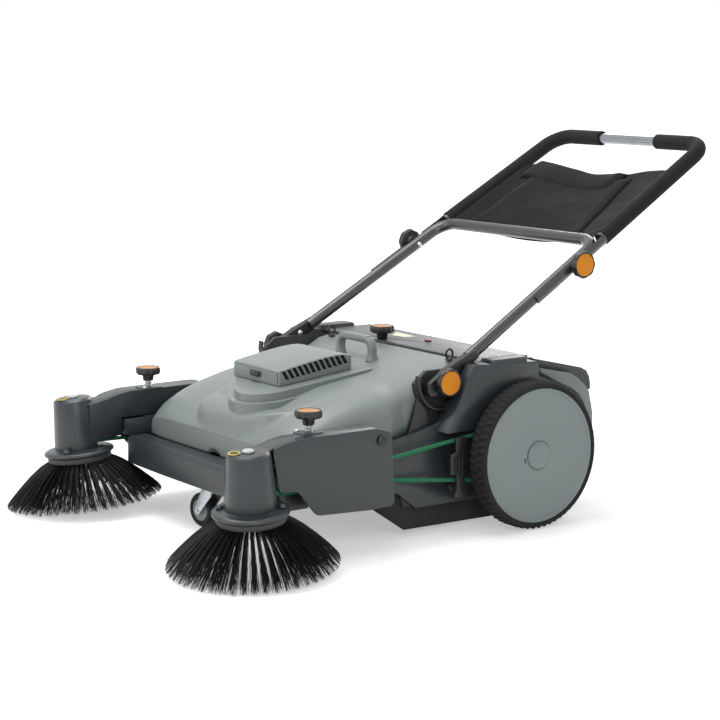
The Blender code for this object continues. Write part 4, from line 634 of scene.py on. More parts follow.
def make_axle():
    end = WHEEL_X + TYRE_HALF - 0.0063
    profile = softened([(0, end), (0.008, end), (0.008, -end), (0, -end)], 0.0012, 3)
    piece("axle_rod", turned(profile, towards((1, 0, 0), (0, 0, WHEEL_RADIUS)), 40), "chassis", STEEL, ("wheel_axle",))
    nuts = [rod((side * 0.2895, 0.0, WHEEL_RADIUS), (side, 0, 0), 0.0135, 0.0, 0.0085, 6) for side in (-1, 1)]
    piece("axle_nuts", merged(*nuts), "chassis", ZINC, slot="wheel_axle")


# Belts

BELT_OUT, BELT_RADIUS = 0.0053, 0.004
ROLLER_Y, ROLLER_Z, ROLLER_GROOVE = -0.150, 0.0905, 0.0251
BROOM_GROOVE, BROOM_GROOVE_Z = 0.0125, 0.0185


def belt_path(fine=40):
    """The left belt's closed route, as in the frame."""
    wheel_turn = arc((0.0, WHEEL_RADIUS), BROOM_BELT_GROOVE + BELT_OUT, -100, 100, fine)
    broom_turn = arc((0.0, 0.0), BROOM_GROOVE + BELT_OUT, 0, -180, 12)
    points = [Vector((BROOM_BELT_X, y, z)) for y, z in wheel_turn] + [Vector((0.3290, -0.590, 0.147))]
    points += [broom_place() @ Vector((x, y, BROOM_GROOVE_Z)) for x, y in broom_turn]
    return points + [Vector((BROOM_BELT_X, -0.335, 0.1202 + 0.0079 + 0.0045))]


def make_belts():
    both("round_belt", pipe(belt_path(), BELT_RADIUS, closed=True), "chassis", GREEN, ("drive_belt",), smooth=60)
    lean = math.degrees(math.atan2(WHEEL_RADIUS - ROLLER_Z, -ROLLER_Y))
    points = arc((0.0, WHEEL_RADIUS), ROLLER_BELT_GROOVE + BELT_OUT, lean - 96, lean + 96, 24)
    points += arc((ROLLER_Y, ROLLER_Z), ROLLER_GROOVE + BELT_OUT, lean + 96, lean + 264, 16)
    shape = pipe([Vector((-ROLLER_BELT_X, y, z)) for y, z in points], BELT_RADIUS, closed=True)
    piece("roller_belt_loop", shape, "chassis", SKIRT, ("roller_belt",), smooth=60)


def make_belt_guides():
    """A black strap with two plugged holes that keeps both strands in line."""
    x, hole_y = BROOM_BELT_X + 0.004 + 0.0050, -0.178
    outline = [(-0.188, 0.126), (-0.172, 0.126), (-0.172, 0.090), (-0.178, 0.086), (-0.178, 0.078), (-0.150, 0.078),
               (-0.150, 0.110), (-0.156, 0.116), (-0.156, 0.168), (-0.150, 0.173), (-0.150, 0.199), (-0.174, 0.199),
               (-0.174, 0.170), (-0.188, 0.166)]
    holes = [rod((x, hole_y, z), (1, 0, 0), 0.0045, -0.01, 0.02, 20, 0) for z in (0.157, 0.135)]
    strap = carved(plate(outline, "X", x, x + 0.006, 0.0010), *holes)
    ribs = [brick((x + 0.005, y, 0.118), (x + 0.0095, y + 0.0025, 0.168), 0.0008) for y in (-0.171, -0.1635)]
    arm = brick((0.2882, -0.176, 0.141), (x + 0.001, -0.158, 0.151), 0.001)
    both("strap_guide", merged(strap, arm, *ribs), "chassis", BLACK, ("belt_guide",))
    plug = [(0, 0.0055), (0.0042, 0.0050), (0.0042, 0.001), (0, 0.001)]
    plugs = [button(plug, (x, hole_y, z), (1, 0, 0), 20, 0.001) for z in (0.157, 0.135)]
    both("guide_plugs", merged(*plugs), "chassis", DEEP_BLACK, slot="belt_guide")


# Brooms and their arms

BROOM_X, BROOM_Y, BROOM_TILT, BROOM_LOW_SIDE = 0.3345, -0.6544, math.radians(5.7), math.radians(-53.0)
DISC_Z = (0.105 + 0.0004) * math.cos(BROOM_TILT) + (0.1625 + 0.0012) * math.sin(BROOM_TILT)


def broom_place():
    low = Vector((math.cos(BROOM_LOW_SIDE), math.sin(BROOM_LOW_SIDE), 0.0))
    axis = (Vector((0, 0, math.cos(BROOM_TILT))) + low * math.sin(BROOM_TILT)).normalized()
    return towards(axis, (BROOM_X, BROOM_Y, DISC_Z))


BRISTLE_REACH = 0.1616
BROOM_STRAND, ROLLER_STRAND = 0.00062, 0.00075
TUFT_RINGS = ((0.044, 34, 0.118), (0.052, 42, 0.142), (0.060, 50, 0.1625))


def strand(shape, layer, points, radius, value):
    """One bristle: a three-sided thread that thins towards its tip."""
    rings = []
    for index, point in enumerate(points):
        ahead = points[min(index + 1, len(points) - 1)] - points[max(index - 1, 0)]
        first = ahead.cross(Vector((0.31, 0.77, 0.12))).normalized()
        second = ahead.cross(first).normalized()
        size = radius * (1 - 0.55 * index / (len(points) - 1))
        rings.append([shape.verts.new(point + (first * math.cos(turn) + second * math.sin(turn)) * size)
                      for turn in (0.0, 2.094, 4.189)])
    faces = [shape.faces.new((low[step], low[(step + 1) % 3], high[(step + 1) % 3], high[step]))
             for low, high in zip(rings, rings[1:]) for step in range(3)]
    faces += [shape.faces.new(rings[-1]), shape.faces.new(rings[0][::-1])]
    for face in faces:
        face[layer] = value


def make_broom_bristles():
    """Tufts in three rings fan out and bend down to the floor."""
    chance, place = random.Random(7), broom_place()
    shape = bmesh.new()
    layer = shape.faces.layers.float.new("strand")
    for ring, (root_radius, count, tip_radius) in enumerate(TUFT_RINGS):
        for tuft in range(count):
            turn = 2 * math.pi * (tuft + 0.33 * ring) / count
            weak = 0.45 + 0.55 * noise.noise((math.cos(turn) * 2.1, math.sin(turn) * 2.1, ring * 3.7)) + 0.25
            strands = 30 if weak > 0.42 else 19
            for _ in range(strands):
                aside = chance.gauss(0, 0.030)
                start_turn = turn + chance.uniform(-0.03, 0.03)
                end_turn = turn + aside
                root = root_radius + chance.uniform(-0.003, 0.003)
                tip = min(tip_radius + chance.gauss(0, 0.0065) - abs(aside) * 0.05, BRISTLE_REACH)
                drop = 0.1045 + chance.uniform(-0.006, 0.0) - (0.1628 - tip) * 0.02
                points = []
                for step in range(6):
                    share = step / 5
                    reach = root + (tip - root) * (share ** 0.86)
                    own = start_turn + (end_turn - start_turn) * share
                    height = -0.0185 - (drop - 0.0185) * (share ** 1.14)
                    points.append(place @ Vector((reach * math.cos(own), reach * math.sin(own), height)))
                points[-1].z = max(points[-1].z, 0.0008)
                strand(shape, layer, points, BROOM_STRAND, chance.random())
    both_of("broom_strands", baked("broom_strands", shape), "broom", BRISTLE, ("broom_bristles",), smooth=80)
    profile = [(0.030, -0.008), (0.0655, -0.008), (0.0665, -0.012), (0.0655, -0.0195), (0.030, -0.0195)]
    ring = turned(softened(profile, 0.0016, 2, ring=True), place, 96, ring=True)
    backing = moulded("broom_backing", (0.055, 0.056, 0.056), 0.6, 0.12)
    both("broom_plate", ring, "broom", backing, slot="broom_bristles")


def make_spindles():
    high, low = BROOM_GROOVE_Z + 0.0055, BROOM_GROOVE_Z - 0.0055
    profile = [(0, 0.080), (0.0055, 0.080), (0.0055, high), (0.017, high), (BROOM_GROOVE, 0.0207),
               (BROOM_GROOVE, 0.0163), (0.017, low), (0.0185, low), (0.0185, -0.0075), (0.0297, -0.008),
               (0.0297, -0.020), (0, -0.020)]
    shape = turned(profile, broom_place(), 40)
    both("broom_hub", shape, "broom", BLACK, ("broom_spindle",))


def make_guards():
    """A saucer with a rounded rim, and two ribs that carry it under the head."""
    profile = [(0.0200, 0.006), (0.050, 0.0060), (0.0515, 0.0050), (0.0555, 0.0042), (0.0640, 0.0034), (0.0695, 0.0020),
               (0.0725, -0.0008), (0.0730, -0.0030), (0.0718, -0.0054), (0.0690, -0.0060), (0.0655, -0.0058),
               (0.0640, -0.0044), (0.0200, -0.0040)]
    both("guard_saucer", turned(profile, broom_place(), 96, ring=True), "arm", SLATE, ("guard_disc",), smooth=40)
    lugs = []
    for turn in (-128, 52):
        out = Vector((math.cos(math.radians(turn)), math.sin(math.radians(turn)), 0))
        centre = broom_place() @ (out * 0.0575 + Vector((0, 0, 0.004)))
        lug = [(0, 0.0082), (0.0062, 0.0072), (0.0080, 0.0), (0, 0.0)]
        lugs.append(button(lug, centre, steps=28, rim=0.002, fine=3))
    both("guard_lugs", merged(*lugs), "arm", SLATE, slot="guard_disc", smooth=60)


ARM_TOP = [(-0.3384, 0.2215), (-0.3450, 0.2330), (-0.3720, 0.2420), (-0.5530, 0.2420), (-0.5850, 0.2370),
           (-0.6100, 0.2300)]


def make_arms():
    both("arm_channel", cleaned("broom_arm_left", 0.0012), "arm", SLATE, ("broom_arm",), smooth=32)
    outline = ARM_TOP + [(-0.5955, 0.1445), (-0.5571, 0.1449), (-0.5125, 0.0915), (-0.3905, 0.0852), (-0.3380, 0.0875),
                         (-0.3315, 0.0945)]
    cover = plate(softened(outline, 0.010, 4, ring=True), "X", 0.3373, 0.3423, 0.0014, 3)
    both("arm_cover", cover, "arm", SLATE, ("arm_plate",), smooth=34)
    top = broom_place() @ Vector((0, 0, 0.1113))
    axis = broom_place().to_3x3() @ Vector((0, 0, 1))
    collar = button([(0, 0.0012), (0.0135, 0.0012), (0.0135, -0.002), (0, -0.002)], top, axis, 36, 0.0006)
    both("head_collar", collar, "arm", BLACK, slot="broom_arm")
    cap = [(0, 0.0058), (0.006, 0.0055), (0.0100, 0.0042), (0.0112, 0.0024), (0.0112, 0.0008), (0, 0.0008)]
    both("head_cap", button(cap, top, axis, 36), "arm", PALE_CAP, slot="broom_arm", smooth=60)
    mark = softened([(0.0085, 0.0006), (0.0118, 0.0006), (0.0118, -0.001), (0.0085, -0.001)], 0.0002, 1, ring=True)
    ring = turned(mark, towards(axis, top + Vector((-0.006, -0.026, 0.0004))), 32, ring=True)
    both("head_mark", ring, "arm", STICKER, slot="broom_arm")
    dome = [(0, 0.0064), (0.004, 0.0060), (0.0085, 0.0042), (0.0105, 0.0016), (0.0108, 0.0), (0, 0.0)]
    pivot = button(dome, (0.3429, -0.3625, 0.2181), (1, 0, 0), 32)
    both("pivot_dome", pivot, "chassis", BLACK, slot="broom_arm", smooth=60)
    base = brick((0.2824, -0.5262, 0.2425), (0.3182, -0.4818, 0.2448), 0.0007)
    both("knob_plate", base, "arm", PLATE_BLUE, slot="broom_arm")
    bolt = [(0, 0.0052), (0.0040, 0.0044), (0.0046, 0.0), (0, 0.0)]
    both("plate_bolt", button(bolt, (0.2872, -0.5205, 0.2447), steps=20, rim=0.001), "arm", STEEL, slot="stem_spring")


# Knobs

KNOB_X, KNOB_Y = 0.3020, -0.5040
KNOB_HEAD, KNOB_RIM, KNOB_LOBES = 0.0155, 0.0050, 8


def knob_shape(hub, stem_radius, stem_length, radius):
    """A lobed head with a recess for its face, on a hub and a stem."""
    top, inner = hub + KNOB_HEAD, radius - KNOB_RIM
    profile = [(0, top - 0.0022), (inner, top - 0.0022), (inner + 0.0007, top - 0.0002), (radius - 0.0020, top),
               (radius, top - 0.0035), (radius, hub + 0.004), (radius - 0.003, hub + 0.0004), (0.0125, hub - 0.0008),
               (0.0108, 0.0), (stem_radius, 0.0), (stem_radius, -stem_length), (0, -stem_length)]
    shape = turned(softened(profile, 0.0012, 2), steps=96)
    for vert in shape.verts:
        reach = math.hypot(vert.co.x, vert.co.y)
        if reach > radius - 0.0033:
            wave = 0.5 - 0.5 * math.cos(KNOB_LOBES * math.atan2(vert.co.y, vert.co.x))
            dip = 0.0019 * wave ** 1.6 * eased((reach - radius + 0.0033) / 0.002)
            vert.co.x *= 1 - dip / reach
            vert.co.y *= 1 - dip / reach
    return shape


def knob_face(hub, radius):
    top, inner = hub + KNOB_HEAD, radius - KNOB_RIM
    profile = [(0, top - 0.0004), (inner - 0.0015, top - 0.0007), (inner - 0.0002, top - 0.0012),
               (inner - 0.0002, top - 0.0024), (0, top - 0.0024)]
    return turned(profile, steps=64)


def make_knob(name, node, body, centre, direction, look, hub, stem_radius, stem_length, radius=0.0265):
    place = towards(direction, centre)
    head, face = knob_shape(hub, stem_radius, stem_length, radius), knob_face(hub, radius)
    head.transform(place)
    face.transform(place)
    piece(name, head, body, BLACK, (node,), smooth=40)
    piece(name + "_face", face, body, look, slot=SLOTS[node], smooth=40)


HANDLE_X, UPPER_X, HANDLE_TAPER = 0.285, 0.288, 0.053
HANDLE_PIVOT, SLOPE = (-0.176, 0.3055), math.radians(29.95)
ALONG = Vector((0.0, math.cos(SLOPE), math.sin(SLOPE)))
ABOVE = Vector((0.0, -math.sin(SLOPE), math.cos(SLOPE)))
FOLD_AT, TOP_AT = 0.416, 0.880


def handle_point(x, along, up=0.0):
    return Vector((x, *HANDLE_PIVOT)) + ALONG * along + ABOVE * up


def leg_x(half, along):
    """The legs close towards the top bar."""
    return half - HANDLE_TAPER * along


def make_knobs():
    for side in (1, -1):
        end = sided("", side)
        make_knob("height_grip" + end, "height_knob" + end, "height" + end, (side * KNOB_X, KNOB_Y, 0.2581), (0, 0, 1),
                  COPPER, 0.013, 0.004, 0.0718)
        spots = {"lower": (side * 0.2958, *HANDLE_PIVOT), "upper": handle_point(side * 0.28135, FOLD_AT)}
        for level, place in spots.items():
            make_knob(level + "_clamp_grip" + end, level + "_knob" + end, level + "_clamp" + end, place, (side, 0, 0),
                      ORANGE, 0.006, 0.009, 0.0002, 0.0285)
    make_knob("deck_grip", "brush_knob", "deck_knob", (-0.078, -0.0535, 0.3353), (0, 0, 1), COPPER, 0.013, 0.004, 0.014)


def make_springs():
    coil, turns, per_turn = 0.0072, 4, 24
    low, rise = 0.2420 + 0.0025 + 0.0003 + 0.0008, 0.0130 - 0.0016
    points = []
    for step in range(turns * per_turn + 1):
        turn = 2 * math.pi * step / per_turn
        height = low + rise * step / (turns * per_turn)
        points.append(Vector((KNOB_X + coil * math.cos(turn), KNOB_Y + coil * math.sin(turn), height)))
    both("stem_coil", pipe(points, 0.0009, 8), "arm", STEEL, ("stem_spring",), smooth=80)
    screw = rod((KNOB_X, KNOB_Y, 0.2440), (0, 0, 1), 0.0046, 0.0, 0.0135, 24, 0.0004)
    both("stem_sleeve", screw, "arm", STEEL, slot="stem_spring")


# Chassis

def make_chassis():
    copied("inner_frame", "chassis_frame", "chassis", BLACK, 0.0010)
    both("side_wall", cleaned("side_panel_left", 0.0014), "chassis", SLATE, ("side_panel",), smooth=32)
    both("foot_cup", cleaned("handle_cup_left", 0.0011, 2, 34), "chassis", BLACK, ("handle_cup",), smooth=40)
    both("floor_skirt", cleaned("side_skirt_left", 0.0008), "chassis", SKIRT, ("side_skirt",), smooth=40)
    copied("deck", "rear_deck", "chassis", SLATE)
    label = plate([(-0.106, -0.007), (-0.067, -0.003), (-0.059, 0.021), (-0.135, 0.029)], "Z", 0.3350, 0.3354)
    piece("deck_label", label, "chassis", LABEL, slot="rear_deck")
    tab = brick((0.006, -0.004, 0.3350), (0.020, 0.005, 0.3385), 0.0008)
    piece("deck_tab", tab, "chassis", RED, slot="rear_deck")
    copied("caster_mount", "caster_plate", "chassis", ZINC, 0.0006)


def bumper_line(inset, fine=6):
    half, front, bow = 0.291 - inset, -0.579 + inset, 0.007
    corner = 0.024 - inset
    flat = half - corner
    points = [(half, -0.498)]
    side_y = front + bow + corner
    points += arc((flat, side_y), corner, 0, -84, fine)
    points += [(flat - 2 * flat * step / 28, front + bow * (1 - 2 * step / 28) ** 2) for step in range(1, 28)]
    points += arc((-flat, side_y), corner, -96, -180, fine)
    return points + [(-half, -0.498)]


def lofted(lines):
    """A bar along an open route, from the lines that its corners follow."""
    shape = bmesh.new()
    rings = [[shape.verts.new(point) for point in points] for points in zip(*lines)]
    for first, second in zip(rings, rings[1:]):
        for step in range(len(first)):
            shape.faces.new((first[step], first[step - 1], second[step - 1], second[step]))
    shape.faces.new(rings[0])
    shape.faces.new(rings[-1])
    bmesh.ops.recalc_face_normals(shape, faces=shape.faces)
    return shape


def make_bumper():
    """A band whose upper edge slopes in to the shelf under the hood's nose."""
    section = ((0.0009, 0.0945), (0.0, 0.0960), (0.0, 0.1405), (0.0010, 0.1434), (0.0052, 0.1514), (0.0064, 0.1520),
               (0.0070, 0.1516), (0.0070, 0.0945))
    band = lofted([[(x, y, z) for x, y in bumper_line(inset)] for inset, z in section])
    ribs = [brick((middle - 0.04, -0.5728, 0.106), (middle + 0.04, -0.5353, 0.114), 0.0008) for middle in (-0.15, 0.15)]
    front = [(max(-0.275, min(0.275, x)), y) for x, y in bumper_line(0.006) if y < -0.5292]
    shelf = plate([(0.275, -0.529)] + front + [(-0.275, -0.529)], "Z", 0.1500, 0.1514)
    piece("bumper_band", merged(band, shelf, *ribs), "chassis", SLATE, ("front_bumper",), smooth=28)


# Hood

HOOD_FRONT, HOOD_BACK, NOSE_FOOT = -0.5275, -0.0755, 0.1522
HOOD_HALF, CROWN_POWER = 0.2745, 4.4
HOOD_CROWN = ((-0.5275, 0.196), (-0.520, 0.2100), (-0.505, 0.2300), (-0.485, 0.2435), (-0.460, 0.2575),
              (-0.420, 0.2730), (-0.360, 0.2890), (-0.300, 0.2975), (-0.250, 0.304), (-0.178, 0.317), (-0.0755, 0.331))
HOOD_EDGE = ((-0.5275, 0.152), (-0.420, 0.1735), (-0.282, 0.1985), (-0.200, 0.212), (-0.150, 0.262),
             (-0.105, 0.315), (-0.0755, 0.322))
HOOD_SIDES = ((-0.5275, HOOD_HALF), (-0.290, HOOD_HALF), (-0.254, 0.2640), (-0.200, 0.2640), (-0.150, 0.250),
              (0, 0.250))


def rounded_line(points, y, reach=0.014):
    """The line's value with its corners rounded off."""
    return sum(on_line(points, y + offset) * weight for offset, weight in
               ((-reach, 0.1), (-reach / 2, 0.2), (0, 0.4), (reach / 2, 0.2), (reach, 0.1)))


def hood_point(across, y):
    """Across is the share of the half width, from -1 to 1."""
    half = rounded_line(HOOD_SIDES, y, 0.006)
    low = on_line(HOOD_EDGE, y)
    crown = rounded_line(HOOD_CROWN, y, min(0.014, y - HOOD_FRONT))
    height = low + (crown - low) * max(1 - abs(across) ** CROWN_POWER, 0.0) ** (1 / CROWN_POWER)
    side = across * half
    share = max((y - HOOD_BACK) / (HOOD_FRONT - HOOD_BACK), 0.0)
    return Vector((side, y + 0.014 * (side / HOOD_HALF) ** 8 * share ** 3, height))


def hood_columns():
    """Even steps over the top, then finer ones down each rounded side."""
    top, power = 0.88, CROWN_POWER / 2
    half = [step / 56 * top for step in range(57)]
    start = math.asin(top ** power)
    half += [math.sin(start + (math.pi / 2 - start) * step / 22) ** (1 / power) for step in range(1, 23)]
    return [-value for value in half[:0:-1]] + half


TONGUE_HEIGHT, TONGUE_WALL = 0.026, 0.011
TONGUE = [(-0.1, -0.33), (-0.102, -0.39), (-0.1025, -0.4221), (-0.1025, -0.4435), (-0.101, -0.4723), (-0.0965, -0.4925),
          (-0.088, -0.507), (-0.073, -0.5165), (-0.052, -0.5215), (-0.017, -0.5366), (0.0307, -0.535), (0.0809, -0.526),
          (0.121, -0.513), (0.148, -0.494), (0.168, -0.4638), (0.181, -0.42), (0.191, -0.367), (0.198, -0.31)]


def tongue_rise(x, y, base):
    """How far the tongue round the plinth stands out: a plateau with a steep wall, lower towards the rear."""
    best, inside = 1.0, False
    for (ax, ay), (bx, by) in zip(TONGUE, TONGUE[1:]):
        span = Vector((bx - ax, by - ay))
        share = min(max((Vector((x - ax, y - ay))).dot(span) / span.length_squared, 0.0), 1.0)
        gap = Vector((x - ax - span.x * share, y - ay - span.y * share))
        if gap.length < best:
            best = gap.length
            inside = span.x * (y - ay) - span.y * (x - ax) > 0
    own = best if inside else -best
    wall = eased(0.5 + own / TONGUE_WALL)
    fade = eased((-0.310 - y) / 0.12)
    gap = max(plinth_top(y) - 0.0290 - base, 0.0)
    height = TONGUE_HEIGHT * gap / math.hypot(gap, TONGUE_HEIGHT)
    return (height * wall - 0.0020 * (1 - wall) * math.exp(min(own, 0.0) / 0.030)) * fade


def make_hood_shell():
    shape = bmesh.new()
    columns = hood_columns()
    rows = [HOOD_FRONT + (HOOD_BACK - HOOD_FRONT) * (step / 150) ** 1.25 for step in range(151)]
    places = []
    for step in range(13):
        share = step / 13
        line = []
        for across in columns:
            top = hood_point(across, HOOD_FRONT)
            height = NOSE_FOOT + (top.z - NOSE_FOOT) * share
            set_back = 0.0040 * eased((share - 0.72) / 0.28) ** 2 if abs(across) < 0.97 else 0.0
            place = Vector((top.x, top.y + set_back * 0.3, height))
            notch = math.hypot(place.x / 0.024, (place.z - 0.150) / 0.013)
            place.y += 0.009 * min(1.0, 2.2 * (1 - notch)) if notch < 1.0 else 0.0
            line.append(place)
        places.append(line)
    for y in rows:
        line = []
        for across in columns:
            place = hood_point(across, y)
            rim = eased((1 - abs(across)) / 0.12) * eased((y - HOOD_FRONT) / 0.012) * eased((HOOD_BACK - y) / 0.02)
            place.z += tongue_rise(place.x, place.y, place.z) * rim if y < -0.28 else 0.0
            line.append(place)
        places.append(line)
    grid = [[shape.verts.new(place) for place in line] for line in places]
    for low, high in zip(grid, grid[1:]):
        for step in range(len(columns) - 1):
            shape.faces.new((low[step], low[step + 1], high[step + 1], high[step]))
    return shape


def make_hood():
    shell = piece("hood_shell", make_hood_shell(), "hood_cover", GREY_GREEN, ("hood",), smooth=60)
    thickened(shell, "wall", 0.003)
    for label, inset, drop in (("plinth_step", 0.0, 0.0160), ("plinth_top", 0.0115, 0.0)):
        piece(label, plinth_shape(inset, drop), "hood_cover", GREY_GREEN, slot="hood", smooth=30)


def plinth_top(y):
    return 0.2804 + (y + 0.514) * 0.110


def plinth_front_cut(x, y, inset):
    """The plinth's left front runs back at a slant; the turn from front to slant is round."""
    slant = -0.4975 - 0.718 * x + 1.23 * inset
    return (y + slant + math.sqrt((y - slant) ** 2 + 0.0004)) / 2


def plinth_line(inset):
    half, front, rear = 0.129 - inset, -0.514 + inset, -0.205 - inset
    corner, small, steps = 0.080 - inset, 0.012, 12
    run = half - corner
    outline = arc((run, front + corner), corner, 0, -90, 18)
    outline += [(run - 2 * run * step / steps, front) for step in range(1, steps)]
    outline += arc((-run, front + corner), corner, -90, -180, 18)
    outline += arc((small - half, rear - small), small, 180, 90, 6)
    outline += arc((half - small, rear - small), small, 90, 0, 6)
    return [(x, plinth_front_cut(x, y, inset) if y < -0.3 else y) for x, y in outline]


def plinth_shape(inset, drop):
    shape = plate(plinth_line(inset), "Z", 0.2, 0.3)
    round_edges(shape, 0.0020, 3, 60)
    for vert in shape.verts:
        vert.co.z = plinth_top(vert.co.y) - drop - (0.3 - vert.co.z) * 0.32
    return shape


VENT_FRONT, VENT_REAR, VENT_HALF = -0.4265, -0.250, 0.085
VENT_TOP = ((-0.4265, 0.3215), (-0.380, 0.3303), (-0.315, 0.3405), (-0.272, 0.3440), (-0.250, 0.3385))


def vent_line(inset):
    """The vent's upper line from front to rear."""
    front, rear = VENT_FRONT + inset, VENT_REAR - inset
    spots = [y for y in (-0.4150 + 0.0125 * step for step in range(13)) if y < rear - 0.006]
    curve = [(y, rounded_line(VENT_TOP, y, 0.020) - inset + 0.0003) for y in spots]
    return [(front, 0.3215 - inset + 0.1 * inset)] + curve + [(rear, 0.3385 - inset)]


def vent_foot(y):
    """The vent stands a hair over the plinth."""
    return plinth_top(y) + 0.0003


def make_vent():
    front, rear, half = VENT_FRONT, VENT_REAR, VENT_HALF
    shape = plate([(rear, vent_foot(rear)), (front, vent_foot(front))] + vent_line(0.0), "X", -half, half)
    round_edges(shape, 0.0028, 3, 40)
    wall = 0.004
    inner = plate([(rear - wall, 0.2), (front + wall, 0.2)] + vent_line(wall), "X", wall - half, half - wall)
    slots, narrow = [], 0.0047
    for index in range(12):
        foot, low = -0.4059 + 0.01289 * index, 0.3030 + 0.0018 * index
        high = on_line(vent_line(0.0), foot - 0.011) - 0.0030
        head = foot - 0.577 * (high - low)
        outline = [(foot - narrow, low), (foot + narrow, low), (head + narrow, high), (head - narrow, high)]
        slots += [plate(outline, "X", *ends) for ends in ((-0.1, -0.07), (0.07, 0.1))]
    latch_room = brick((-0.0215, front - 0.004, 0.3004), (0.0215, front + 0.0022, 0.3126), 0.001)
    door = brick((0.0775, front - 0.004, 0.2950), (0.0803, front + 0.0030, 0.3190))
    lid_gap = brick((-0.0775, front - 0.004, 0.3182), (0.0775, front + 0.0012, 0.3190))
    shape = carved(shape, inner, merged(*slots), latch_room, door, lid_gap)
    piece("vent_shell", shape, "vent", GREY_GREEN, ("vent_cover",), smooth=30)
    # A near-black block fills the vent's hollow behind its slots: painted shade inside the vent, not a part of the
    # sweeper.
    deep = 0.0075
    outline = [(rear - deep, vent_foot(rear) + 0.002), (front + deep, vent_foot(front) + 0.002)] + vent_line(deep)
    piece("vent_painted_shade", plate(outline, "X", deep - half, half - deep), "vent", DEEP_BLACK, slot="vent_cover")
    copied("latch_slider", "vent_latch", "latch", BLACK)
    make_pleats()


def make_pleats():
    """The filter's paper, folded to and fro."""
    pleats, columns = bmesh.new(), 60
    bmesh.ops.create_grid(pleats, x_segments=columns, y_segments=2, size=1.0)
    low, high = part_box("filter_panel")
    middle, half = (low + high) / 2, (high - low) / 2
    for vert in pleats.verts:
        x, y = vert.co.x, vert.co.y
        fold = 0.010 if round((x + 1) * columns / 2) % 2 else 0.0
        vert.co = Vector((middle.x + x * half.x, middle.y - AXLE_Y + y * half.y, high.z - 0.001 - fold))
    sheet = piece("filter_pleats", pleats, "hood_cover", PAPER, ("filter_panel",), smooth=10)
    thickened(sheet, "paper", 0.0006)


def make_carry_handle():
    """A rounded square bar bent into an arch, flared at its feet."""
    span, top, corner, sides = 0.056, 0.368 - 0.0088, 0.020, 20
    foot = hood_point(0.0, -0.169).z - 0.002
    leg = [foot + (top - corner - foot) * share for share in (0.3, 0.7)]
    path = [(-span, foot)] + [(-span, z) for z in leg]
    path += arc((corner - span, top - corner), corner, 180, 90, 10)
    path += arc((span - corner, top - corner), corner, 90, 0, 10)
    path += [(span, z) for z in leg[::-1]] + [(span, foot)]
    shape = bmesh.new()
    rings = []
    for index, (x, z) in enumerate(path):
        before, after = path[max(index - 1, 0)], path[min(index + 1, len(path) - 1)]
        ahead = Vector((after[0] - before[0], 0, after[1] - before[1])).normalized()
        out = Vector((ahead.z, 0, -ahead.x))
        flare = 1 + 0.45 * eased((foot + 0.012 - z) / 0.012)
        ring = []
        for step in range(sides):
            turn = 2 * math.pi * step / sides
            wide = math.copysign(abs(math.cos(turn)) ** 0.55, math.cos(turn)) * 0.0078 * flare
            deep = math.copysign(abs(math.sin(turn)) ** 0.55, math.sin(turn)) * 0.0090 * flare
            ring.append(shape.verts.new(Vector((x, -0.178, z)) + out * wide + Vector((0, deep, 0))))
        rings.append(ring)
    edges = [[shape.edges.new((ring[step], ring[(step + 1) % sides])) for step in range(sides)] for ring in rings]
    for first, second in zip(edges, edges[1:]):
        bmesh.ops.bridge_loops(shape, edges=first + second)
    shape.faces.new(rings[0][::-1])
    shape.faces.new(rings[-1])
    piece("lift_handle", shape, "hood_cover", GREY_GREEN, ("carry_handle",), smooth=50)
    pad = brick((0.038, -0.1845, 0.3560), (0.052, -0.1715, 0.3600), 0.001)
    lean = Matrix.Rotation(math.radians(38), 4, "Y")
    pad.transform(Matrix.Translation((0.045, 0, 0.358)) @ lean @ Matrix.Translation((-0.043, 0, -0.3535)))
    piece("handle_inset", pad, "hood_cover", DEEP_BLACK, slot="carry_handle")


def make_pull_loops():
    x, y, seat = 0.2085, -0.0955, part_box("pull_loop_left")[1].z - 0.0254
    base = button([(0, 0.0052), (0.0066, 0.0050), (0.0088, 0.0020), (0.0090, 0.0), (0, 0.0)], (x, y, seat), steps=28,
                  rim=0.001)
    turns = [2 * math.pi * step / 36 for step in range(36)]
    ring = [Vector((x, y + 0.0085 * math.cos(turn), seat + 0.0135 + 0.0095 * math.sin(turn))) for turn in turns]
    pin = rod((x, y, seat), (0, 0, 1), 0.0034, -0.0098, 0.003, 20)
    loop = merged(base, pipe(ring, 0.0022, 10, closed=True), pin)
    both("pull_ring", loop, "loop", BLACK, ("pull_loop",), smooth=50)


# Push handle

def u_path(half, start, bend, end, fine=14, straight=6):
    """Half a U in the handle's plane: up the left leg and round its bend."""
    lean = math.atan(HANDLE_TAPER)
    middle = end - bend
    first = middle + bend * math.sin(lean)
    centre_x = leg_x(half, first) - bend * math.cos(lean)
    spots = [start + (first - start) * step / straight for step in range(straight)]
    left = [handle_point(leg_x(half, along), along) for along in spots]
    turns = [lean + (math.pi / 2 - lean) * step / fine for step in range(fine + 1)]
    return left + [handle_point(centre_x + bend * math.cos(turn), middle + bend * math.sin(turn)) for turn in turns]


def whole_u(*given):
    left = u_path(*given)
    return left + [MIRROR @ point for point in left[::-1]]


def flattened_foot(side):
    """The lower end of a leg, pressed flat round its clamp bolt."""
    taper = [(0.020, -0.017), (0.045, -0.0160), (0.078, -0.0115), (0.100, -0.0090)]
    outline = arc((-0.042 + 0.017, 0), 0.017, 90, 270, 20) + taper + [(along, -up) for along, up in taper[::-1]]
    points = [handle_point(0, along, up) for along, up in outline]
    shape = plate([(point.y, point.z) for point in points], "X", HANDLE_X - 0.0092, HANDLE_X + 0.0092, 0.0035, 3)
    if side < 0:
        shape.transform(MIRROR)
        bmesh.ops.reverse_faces(shape, faces=shape.faces)
    return shape


